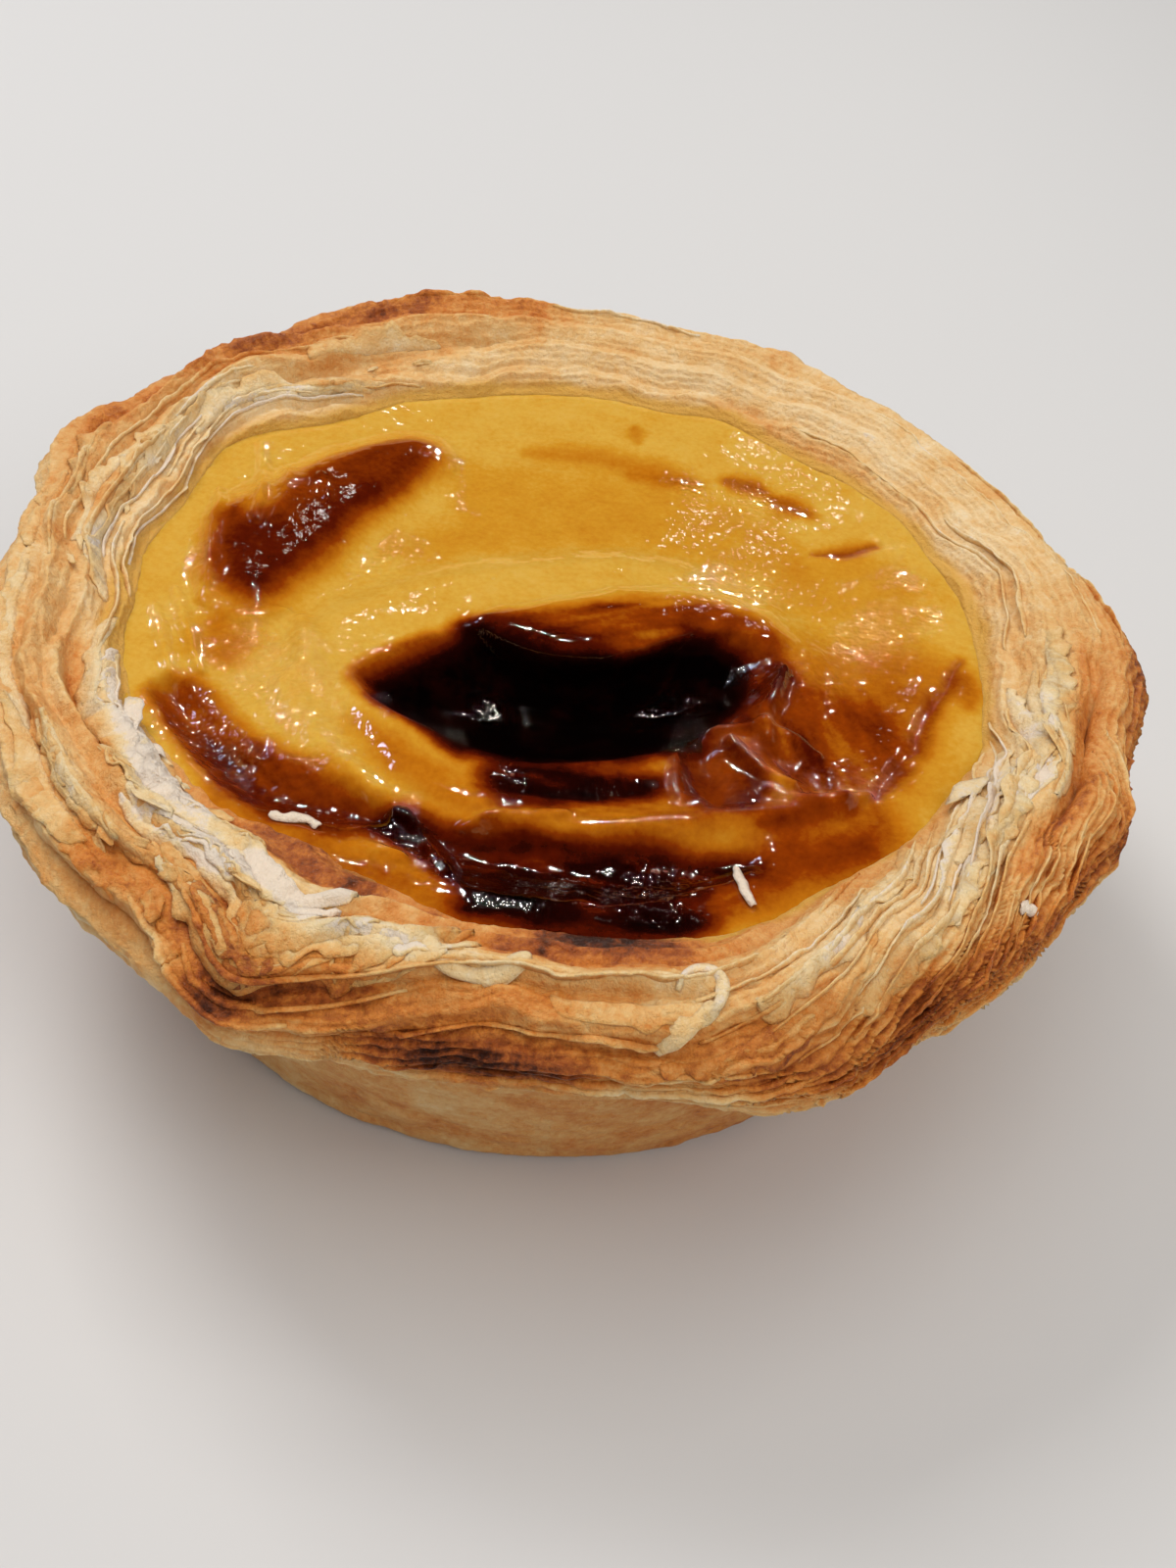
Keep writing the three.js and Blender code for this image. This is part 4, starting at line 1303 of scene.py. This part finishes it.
# How far the skin is baked: change, softness in mm, outline.
BAKE_PATCHES = (
    # toasted ground behind the sunken middle
    (0.09, 2.2, ((-13, 5), (-9, 10), (-9.5, 16), (0, 17.5), (10, 16.5), (15, 13), (16, 8), (9, 8.6),
        (3, 8.8), (-4, 7), (-9.5, 4))),
    (0.09, 2.4, ((14, 4), (18, 3.4), (24, 5), (25, 9), (20, 12), (15, 10))),
    # the blister on the left
    (0.42, 1.5, SCORCHED_BLISTER),
    (0.14, 2.4, BLISTER),
    (0.18, 1.2, ((-23.4, 3), (-22, -1), (-19.6, -1.8), (-17, 3.4), (-14, 9), (-12.6, 12.4),
        (-14.4, 12.6), (-17, 9), (-20, 5.4))),
    (0.04, 1.2, ((-17.6, 9), (-14.6, 9.6), (-11.8, 14), (-11.8, 18), (-14.4, 18.4), (-16.4, 14))),
    # the sunken middle: brown at its brim, black within
    (0.36, 0.7, ((-12.8, -8.4), (-10.4, -5.4), (-8, -3.6), (-6, -2.6), (-5, -5), (-4, -14.9),
        (-7, -13.6), (-9.4, -12.2), (-11.8, -10.4))),
    (0.86, 1.0, ((-9.6, -8.6), (-7.6, -5.4), (-5.4, -3.5), (-4, -4.3), (-1, -5.1), (3, -4.9), (6, -2.9),
        (9, -0.7), (11.4, -2.4), (12.2, -5), (11, -8), (9.4, -10.8), (6.6, -13), (3, -14.3), (0, -15),
        (-3, -14.8), (-6, -13.8), (-9, -12.2), (-10.8, -10.6))),
    (0.42, 1.2, ((-5.6, -3), (-2, -1.6), (1, -0.3), (4, 1), (8, 1.9), (11, 1.8), (13.4, 0.8),
        (14.8, -1), (15.2, -4), (13.8, -7.6), (11, -10.4), (7, -13), (0, -15.1), (-5, -14.4),
        (-5, -8))),
    # the skin round the knot
    (0.34, 1.3, ((11, -10.4), (11.8, -7), (13.6, -3), (15.8, -4.4), (16.8, -8.6), (18, -11.6),
        (15.4, -13), (12.4, -12))),
    (0.2, 0.8, ((7.6, -12.4), (9, -13), (9.2, -16.4), (8, -17))),
    # golden ground round the stain
    (0.22, 1.3, ((-12, -13), (-9, -13.4), (-5, -15.4), (8, -15.4), (12, -17.4), (8, -19.4), (0, -19.8),
        (-6, -19.4))),
    # the stain in front of the sunken middle
    (0.72, 1.2, ((-3.2, -15.8), (0, -15.3), (5, -14.4), (7.4, -14.4), (7, -16.6), (4, -17.7),
        (0, -18.4), (-2.6, -17.8))),
    # the pocket by the knot
    (0.5, 0.8, ((8.2, -11.2), (11.4, -10.8), (13.4, -12.8), (14, -15), (12.6, -16.8), (9.6, -17),
        (8.4, -14.4))),
    (0.2, 0.9, ((12, -14.4), (16, -13.8), (19, -14.6), (17, -16.6), (13, -17.4))),
    # caramel on the right
    (0.24, 3.0, ((14.6, -1), (19, 1), (24, 2), (26.6, -1), (25, -5), (23, -10), (20, -13.6), (15, -14),
        (14.4, -8))),
    (0.2, 1.8, ((16.4, -5), (20, -4.4), (23, -8), (20.4, -13.8), (16, -14))),
    (0.1, 1.8, ((20, -3), (24, -3.6), (23.6, -8.6), (20.6, -7.6))),
    (0.46, 2.4, ((13, -18.4), (18, -16.4), (21, -15), (21, -19), (16, -23), (11, -25))),
    (0.06, 1.8, ((20, -14), (24, -9.6), (27, -9), (24, -16), (20, -19))),
    # the two scorched lobes at the front
    (0.44, 1.1, ((-24, -11), (-22, -10.2), (-19, -13), (-16.5, -15.4), (-13, -16.8), (-10, -18.6),
        (-7, -19.8), (-6, -22), (-9, -22.8), (-14, -22.6), (-17, -20.9), (-19.6, -18.6), (-21.8, -15.8),
        (-24.2, -12.6))),
    (0.68, 1.0, ((-8, -19.7), (-3, -20.5), (3, -20.3), (8, -19.7), (12.5, -19.8), (13.4, -21),
        (10, -23.4), (5, -25), (0, -25.3), (-4, -25), (-7, -23.2), (-9, -21.5))),
)

# Scorched and toasted lines of the skin: half-width in mm, change, path.
BAKE_STROKES = (
    # under the flap
    (2.2, 0.5, FLAP_EDGE[:4]),
    # the lobes at the front
    (1.7, 0.3, ((-20.6, -14.8), (-17, -18.8), (-12.4, -20.4), (-8, -20.8))),
    (1.8, 0.22, ((-4, -23.2), (1, -23.6), (6, -23))),
    (1.6, 0.18, ((-12, -23.8), (-7, -25.2), (-2, -26.4))),
    (2.6, 0.78, ((-2, -26.4), (4, -26.8), (10, -25.6))),
    (1.5, 0.45, ((-4, -24.6), (1, -25.2), (6, -24.9), (10.4, -23.4))),
    (3.0, 0.14, ((-2, -27), (4, -27.6), (9, -26.6))),
    (2.2, 0.2, ((-18, -21.6), (-14, -24.2), (-8, -26), (-3, -27))),
    # at the back
    (1.6, 0.17, ((-4, 20), (0, 20.2), (4, 19.6), (8, 18.4))),
    (1.3, 0.13, ((3.4, 18.4), (6.6, 18.2))),
    (1.2, 0.3, ((10.6, 19.2), (13.2, 18.6))),
    (1.5, 0.32, ((14.2, 17.6), (16.6, 16))),
    (0.7, 0.16, ((3.2, 25), (3.6, 23))),
    (0.7, 0.32, ((17.2, 11.2), (19.2, 11.8), (21.4, 13.2))),
    # on the left
    (1.0, 0.1, ((-23.4, -3), (-21, -4), (-18.6, -3))),
    (2.2, 0.22, ((-22, -5.4), (-20.6, -8))),
    # the roll and the knot
    (1.1, 0.14, ROLL),
    (0.8, 0.18, ((13.6, -17.6), (16.6, -16.6), (19.4, -15.2))),
    (1.0, 0.12, ((14.4, -4), (15, -7), (15.4, -10))),
    (1.0, 0.1, ((13.6, -11), (15.6, -12.4), (18.4, -12.6))),
    # on the right
    (0.8, 0.24, RIGHT_CREASE),
    (1.3, 0.22, ((27, -1), (27, -4))),
)
SKIN_BAKE = 0.14

# Where the skin is finely blistered: place and reach.
BLISTERED_PLACES = (
    (-19, -6, 3.0), (-21, 9, 2.0), (-25, 2, 1.6), (-24, -4, 2.0), (-13.5, 3.5, 2.0), (7, 18, 1.6),
    (25, 5, 1.8), (24, 9, 1.6), (-10, 16, 1.6), (-20, -15, 3.4), (-17, -11, 4.0), (-14.5, -16.5, 3.6),
    (-7, -22, 3.0), (12, 6, 3.0), (17, -3, 3.0), (-2, -11.5, 2.0), (8, -23, 3.0), (13, 18, 2.4),
    (17, -12, 3.0), (21, 2, 3.0), (24, 14, 2.0),
)

# Where scorched skin is streaked: place, reach and the way that the streaks run, in degrees.
FIBRE_PLACES = ((-18, -16, 6, -38), (3, -22, 9, 2), (5, -1, 7, 20), (16, -9, 6, -70), (2, -16, 4, 0))

# How far outlines and paths wander over the skin: grains, and how much further their shift is for y.
SKIN_WANDER = ((0.40, 4.5, 1.0, 3, 3.0), (0.22, 1.3, 1.0, 2, 43.0))
WANDER_SHIFT = 20.0


def skin_height(x, y):
    """Height of the skin over the level of the mouth in mm, without its finest grain."""
    rise = -0.3 * np.exp(-(((np.hypot(x, y) - 16.0) / 9.0) ** 2))
    for lift, softness, corners in SKIN_PATCHES:
        rise = rise + lift * patch(x, y, corners, softness)
    for half_width, lift, corners, *steepness in SKIN_STROKES:
        rise = rise + lift * stroke(x, y, corners, half_width, *steepness)
    return rise


def sunken_middle(x, y):
    """Depth of the sunken middle in mm, and how far it is tucked in under the flap."""
    flap = smooth_path(FLAP_EDGE)
    gentle = smooth_path(GENTLE_EDGE)
    within = inside(x, y, np.vstack([flap[:-1], gentle[:-1]]))
    from_flap, _ = path_distance(x, y, flap)
    from_gentle, _ = path_distance(x, y, gentle)
    slope = np.sin(np.pi / 2 * clamp(from_gentle / GENTLE_RUN))
    drop = within * np.minimum(ease(from_flap, 0.0, FLAP_RUN), slope)
    return MIDDLE_DEPTH * drop, FLAP_TUCK * drop * np.exp(-((from_flap / 2.0) ** 2))


def skin_bake(x, y):
    """How far the skin is baked, from 0 for pale to 1 for black: each form takes away part of the pale."""
    pale = np.full(x.shape, 1.0 - SKIN_BAKE)
    for change, softness, corners in BAKE_PATCHES:
        pale = pale * (1.0 - change * patch(x, y, corners, softness))
    for half_width, change, corners in BAKE_STROKES:
        pale = pale * (1.0 - change * stroke(x, y, corners, half_width))
    return 1.0 - pale


def weight(x, y, place_x, place_y, reach):
    """1 at a place, falling to nothing beyond its reach in mm."""
    return np.exp(-((x - place_x) ** 2 + (y - place_y) ** 2) / reach**2)


def fibre(flat, turn):
    """Long fine streaks that run at an angle over the skin, from -1 to 1."""
    t = np.radians(turn)
    along = flat[..., 0] * np.cos(t) + flat[..., 1] * np.sin(t)
    beside = flat[..., 1] * np.cos(t) - flat[..., 0] * np.sin(t)
    return grain(np.stack([along / 4.0, beside / 0.9, 0.0 * along], -1), 1.0, shift=turn)


def skin_at(x, y, size):
    """The skin's points in mm over places of the mouth, how far it is baked with painted shade in its
    sunken middle, and how finely blistered.
    """
    rim = rim_at(np.degrees(np.arctan2(y, x)) % FULL_TURN, size)
    share = np.hypot(x, y) / (rim.mouth + SKIN_OVERLAP)
    flat = np.stack([x, y, np.zeros_like(x)], -1)
    wander_x = x + grains(flat, SKIN_WANDER)
    wander_y = y + grains(flat, SKIN_WANDER, WANDER_SHIFT)
    rough = clamp(sum(weight(x, y, *place) for place in BLISTERED_PLACES))
    level = mix(MOUTH_HEIGHT, rim.mouth_height - 0.1, share)
    brim_x = x + 0.15 * grain(flat, 1.6, layers=2, shift=5.0)
    brim_y = y + 0.15 * grain(flat, 1.6, layers=2, shift=9.0)
    sunken, tuck = sunken_middle(brim_x, brim_y)
    blisters = rough * 0.1 * grain(flat, 1.7, layers=2, shift=2.0)
    wrinkles = 0.07 * clamp(sunken / 2.0) * grain(flat * (0.5, 1.4, 1.0), 0.9, layers=2, shift=6.0)
    held = clamp((1.0 - share) * 9.0)
    forms = skin_height(wander_x, wander_y) + blisters + 0.08 * grain(flat, 3.0, shift=8.0)
    points = np.stack([x, y + tuck, level + held * forms - sunken + wrinkles], -1)
    fibres = sum(weight(x, y, *place) * fibre(flat, turn) for *place, turn in FIBRE_PLACES)
    bake = skin_bake(wander_x, wander_y) + 0.03 * grain(flat, 2.0, shift=12.0)
    bake = bake + 0.28 * ease(bake, 0.25, 0.5) * fibres
    # The sunken middle is painted darker with its depth, to nearly black: partly its scorch, partly painted
    # shade of the hollow under the flap.
    return points, mix(bake, 0.99, 0.97 * ease(sunken, 0.0, 1.8)), rough


def make_custard(size, material):
    """The set custard: its blistered skin with the sunken middle, and its side and underside in the cup."""
    disc_x, disc_y = disc(CUSTARD_STEPS)
    reach = rim_at(np.degrees(np.arctan2(disc_y, disc_x)) % FULL_TURN, size).mouth + SKIN_OVERLAP
    points, bake, rough = skin_at(disc_x * reach, disc_y * reach, size)
    points = points.reshape(-1, 3)
    edge = grid_border(CUSTARD_STEPS, CUSTARD_STEPS)
    low = len(points) + np.arange(len(edge))
    centre = len(points) + len(edge)
    shrink = CUSTARD_FOOT_RADIUS / np.hypot(points[edge, 0], points[edge, 1])
    low_ring = points[edge] * shrink[:, None]
    low_ring[:, 2] = CUSTARD_FOOT
    side = np.stack([edge, low, np.roll(low, -1), np.roll(edge, -1)], -1)
    faces = [grid_quads(CUSTARD_STEPS, CUSTARD_STEPS), side, fan(low, centre)]
    hidden = np.full(len(edge) + 1, SKIN_BAKE)
    values = {"bake": np.append(bake.ravel(), hidden), "rough": np.append(rough.ravel(), 0.0 * hidden)}
    points = np.vstack([points, low_ring, [[0, 0, CUSTARD_FOOT]]])
    make_piece("custard_skin", points, faces, values, material, "custard_filling")


# Crumbs that fell on the skin: half-width in mm, and places along each.
FALLEN_CRUMBS = (
    (0.42, ((-14.8, -21.8), (-13.8, -22.0), (-12.6, -21.8), (-11.6, -22.5))),
    (0.36, ((12.2, -20.1), (12.3, -21.5), (12.6, -22.9), (13.3, -24.2))),
)
CRUMB_BAKE = -0.1


def make_crumbs(size, material):
    """Pale crumbs of pastry that fell on the custard."""
    draw = np.random.default_rng(3)
    crumbs = []
    for half_width, corners in FALLEN_CRUMBS:
        skin, _, _ = skin_at(*smooth_path(corners).T, size)
        up = np.tile((0.0, 0.0, 1.0), (len(skin), 1))
        crumbs.append(strip(skin + 0.1 * up, up, half_width, 0.0, CRUMB_BAKE, draw))
    make_leafy_piece("pastry_crumbs", crumbs, material, "custard_filling")


# ---- The stage ----

FLOOR_HALF_WIDTH = 1.5  # metres
FLOOR_GAP = 0.02  # the floor under the foot in mm
ROOM_COLOUR = (0.95, 0.97, 1.0, 1.0)
ROOM_STRENGTH = 0.3

LIT_PLACE = (0, 0, 15)  # the place in mm that every light faces

# Broad soft lights: name, place and width in mm, share of the key power, colour, whether gloss mirrors it.
SOFT_LIGHTS = (
    ("key", (-240, 260, 420), 200, 0.5, (1.0, 0.99, 0.98), False),
    ("ceiling", (0, -40, 620), 500, 0.5, (1.0, 0.97, 0.93), False),
    ("fill", (240, -300, 420), 360, 0.38, (1.0, 0.97, 0.93), False),
    ("window", (-300, 180, 330), 40, 0.022, (0.66, 0.72, 1.0), True),
)

# Small lamps that only sparkle on gloss: place in mm and share of the key power.
LAMPS = (
    ((90, 520, 230), 0.11), ((-330, 380, 330), 0.11), ((-60, 300, 500), 0.11), ((300, 330, 380), 0.11),
    ((-360, 120, 400), 0.11), ((60, 180, 560), 0.11), ((60, 486, 350), 0.002), ((-100, 440, 360), 0.004),
)
LAMP_WIDTH = 7
LAMP_COLOUR = (1.0, 0.93, 0.84)

CAMERA_TARGET = (3.101, 6.907, 0.0)
CAMERA_DISTANCE = 131.451
CAMERA_ELEVATION = 43.227
CAMERA_ROLL = 7.2013
CAMERA_LENS = 38.60
CAMERA_SENSOR = 36.0
CAMERA_CLIP = 5


def make_floor(colour):
    """The plain floor under the foot."""
    half = FLOOR_HALF_WIDTH
    corners = [(-half, -half, 0), (half, -half, 0), (half, half, 0), (-half, half, 0)]
    mesh = bpy.data.meshes.new("floor")
    mesh.from_pydata(corners, [], [(0, 1, 2, 3)])
    mesh.materials.append(Finish("plain_floor").surface(Base_Color=(*colour, 1.0), Roughness=0.7))
    floor = add_object("floor", mesh)
    floor.location.z = CRUST_LOW.z - FLOOR_GAP * MM


def make_room(scene):
    """The faint even light of a room, which gloss doesn't mirror."""
    world = bpy.data.worlds.new("soft_room")
    world.use_nodes = True
    background = world.node_tree.nodes["Background"]
    background.inputs["Color"].default_value = ROOM_COLOUR
    background.inputs["Strength"].default_value = ROOM_STRENGTH
    world.cycles_visibility.glossy = False
    scene.world = world
    scene.view_settings.view_transform = "Standard"


def make_light(name, place, width, power, colour):
    """A soft square light at a place and with a width in mm."""
    light = bpy.data.lights.new(name, "AREA")
    light.size = width * MM
    light.energy = power
    light.color = colour
    lamp = add_object(name, light)
    lamp.location = Vector(place) * MM
    lamp.rotation_euler = (Vector(LIT_PLACE) - Vector(place)).to_track_quat("-Z", "Y").to_euler()
    return lamp


def make_lights(key_power):
    """The broad soft lights, and the small lamps that gloss mirrors."""
    for name, place, width, power, colour, mirrored in SOFT_LIGHTS:
        make_light(name, place, width, power * key_power, colour).visible_glossy = mirrored
    for number, (place, power) in enumerate(LAMPS):
        lamp = make_light(f"lamp_{number}", place, LAMP_WIDTH, power * key_power, LAMP_COLOUR)
        lamp.visible_diffuse = False


def make_camera(scene):
    """The camera, turned about its view by its roll."""
    elevation, roll = np.radians([CAMERA_ELEVATION, CAMERA_ROLL])
    back = np.array([0.0, -np.cos(elevation), np.sin(elevation)])
    right = np.array([1.0, 0.0, 0.0])
    up = np.cross(back, right)
    turned_right = np.cos(roll) * right + np.sin(roll) * up
    turned_up = np.cos(roll) * up - np.sin(roll) * right
    camera = bpy.data.cameras.new("camera")
    camera.lens = CAMERA_LENS
    camera.sensor_width = CAMERA_SENSOR
    camera.clip_start = CAMERA_CLIP * MM
    eye = add_object("camera", camera)
    turn = Matrix(np.column_stack([turned_right, turned_up, back]).tolist()).to_4x4()
    place = (np.array(CAMERA_TARGET) + back * CAMERA_DISTANCE) * MM
    eye.matrix_world = Matrix.Translation(place.tolist()) @ turn
    scene.camera = eye


# ---- What a user can change ----


class TartPastrySettings(bpy.types.PropertyGroup):
    """Sizes and looks of the pastry cup."""

    foot_radius: FloatProperty(
        name="Foot radius", description="Radius of the flat foot", default=28.7 * MM, unit="LENGTH"
    )
    neck_radius: FloatProperty(
        name="Neck radius",
        description="Radius of the wall just under the lip",
        default=33.0 * MM,
        unit="LENGTH",
    )
    lip_radius: FloatProperty(
        name="Lip radius",
        description="Radius of the lip between its corners",
        default=36.7 * MM,
        unit="LENGTH",
    )
    crest_height: FloatProperty(
        name="Crest height",
        description="Height of the rim's highest line",
        default=24.1 * MM,
        unit="LENGTH",
    )
    mouth_radius: FloatProperty(
        name="Mouth radius",
        description="Radius where the pastry meets the custard",
        default=28.2 * MM,
        unit="LENGTH",
    )
    layers: IntProperty(
        name="Layers", description="Thick pastry layers across the rim's face", default=4, min=1, max=12
    )
    layer_relief: FloatProperty(
        name="Layer relief", description="Height of each layer's edge", default=0.95 * MM, unit="LENGTH"
    )


class TartStageSettings(bpy.types.PropertyGroup):
    """The floor and the light."""

    floor_colour: FloatVectorProperty(
        name="Floor", description="Colour of the plain floor", subtype="COLOR", default=(0.62, 0.61, 0.60)
    )
    key_power: FloatProperty(
        name="Key light", description="Power of the large soft light", default=2.85, unit="POWER"
    )


# ---- Operators ----


class TART_OT_pastry(bpy.types.Operator):
    """Make the pastry cup and its layered rim."""

    bl_idname = "tart.make_pastry"
    bl_label = "Make pastry"

    def execute(self, context):
        size = context.scene.tart_pastry
        material = pastry_finish()
        for make in (make_cup, make_rim, make_leaves, make_flakes, make_sheets):
            make(size, material)
        return {"FINISHED"}


class TART_OT_custard(bpy.types.Operator):
    """Make the custard with its scorched skin."""

    bl_idname = "tart.make_custard"
    bl_label = "Make custard"

    def execute(self, context):
        make_custard(context.scene.tart_pastry, custard_finish())
        return {"FINISHED"}


class TART_OT_crumbs(bpy.types.Operator):
    """Make the crumbs that fell on the custard."""

    bl_idname = "tart.make_crumbs"
    bl_label = "Make crumbs"

    def execute(self, context):
        make_crumbs(context.scene.tart_pastry, pastry_finish())
        return {"FINISHED"}


class TART_OT_stage(bpy.types.Operator):
    """Make the floor, the lights and the camera."""

    bl_idname = "tart.make_stage"
    bl_label = "Make stage"

    def execute(self, context):
        settings = context.scene.tart_stage
        make_floor(settings.floor_colour)
        make_room(context.scene)
        make_lights(settings.key_power)
        make_camera(context.scene)
        return {"FINISHED"}


class TART_PT_panel(bpy.types.Panel):
    """Lists the tart's sizes and the steps that build it."""

    bl_idname = "TART_PT_panel"
    bl_label = "Custard tart"
    bl_space_type = "VIEW_3D"
    bl_region_type = "UI"
    bl_category = "Tart"

    def draw(self, context):
        for settings, operators in (
            (context.scene.tart_pastry, (TART_OT_pastry, TART_OT_custard, TART_OT_crumbs)),
            (context.scene.tart_stage, (TART_OT_stage,)),
        ):
            box = self.layout.box()
            for label in settings.__annotations__:
                box.prop(settings, label)
            for operator in operators:
                box.operator(operator.bl_idname)


CLASSES = (
    TartPastrySettings,
    TartStageSettings,
    TART_OT_pastry,
    TART_OT_custard,
    TART_OT_crumbs,
    TART_OT_stage,
    TART_PT_panel,
)


def register():
    """Adds the classes and their settings."""
    for cls in CLASSES:
        bpy.utils.register_class(cls)
    bpy.types.Scene.tart_pastry = PointerProperty(type=TartPastrySettings)
    bpy.types.Scene.tart_stage = PointerProperty(type=TartStageSettings)


def unregister():
    """Takes the classes and their settings away."""
    del bpy.types.Scene.tart_stage
    del bpy.types.Scene.tart_pastry
    for cls in reversed(CLASSES):
        bpy.utils.unregister_class(cls)


def main():
    """Builds the tart and its stage."""
    register()
    bpy.ops.tart.make_pastry()
    bpy.ops.tart.make_custard()
    bpy.ops.tart.make_crumbs()
    bpy.ops.tart.make_stage()


if __name__ == "__main__":
    main()
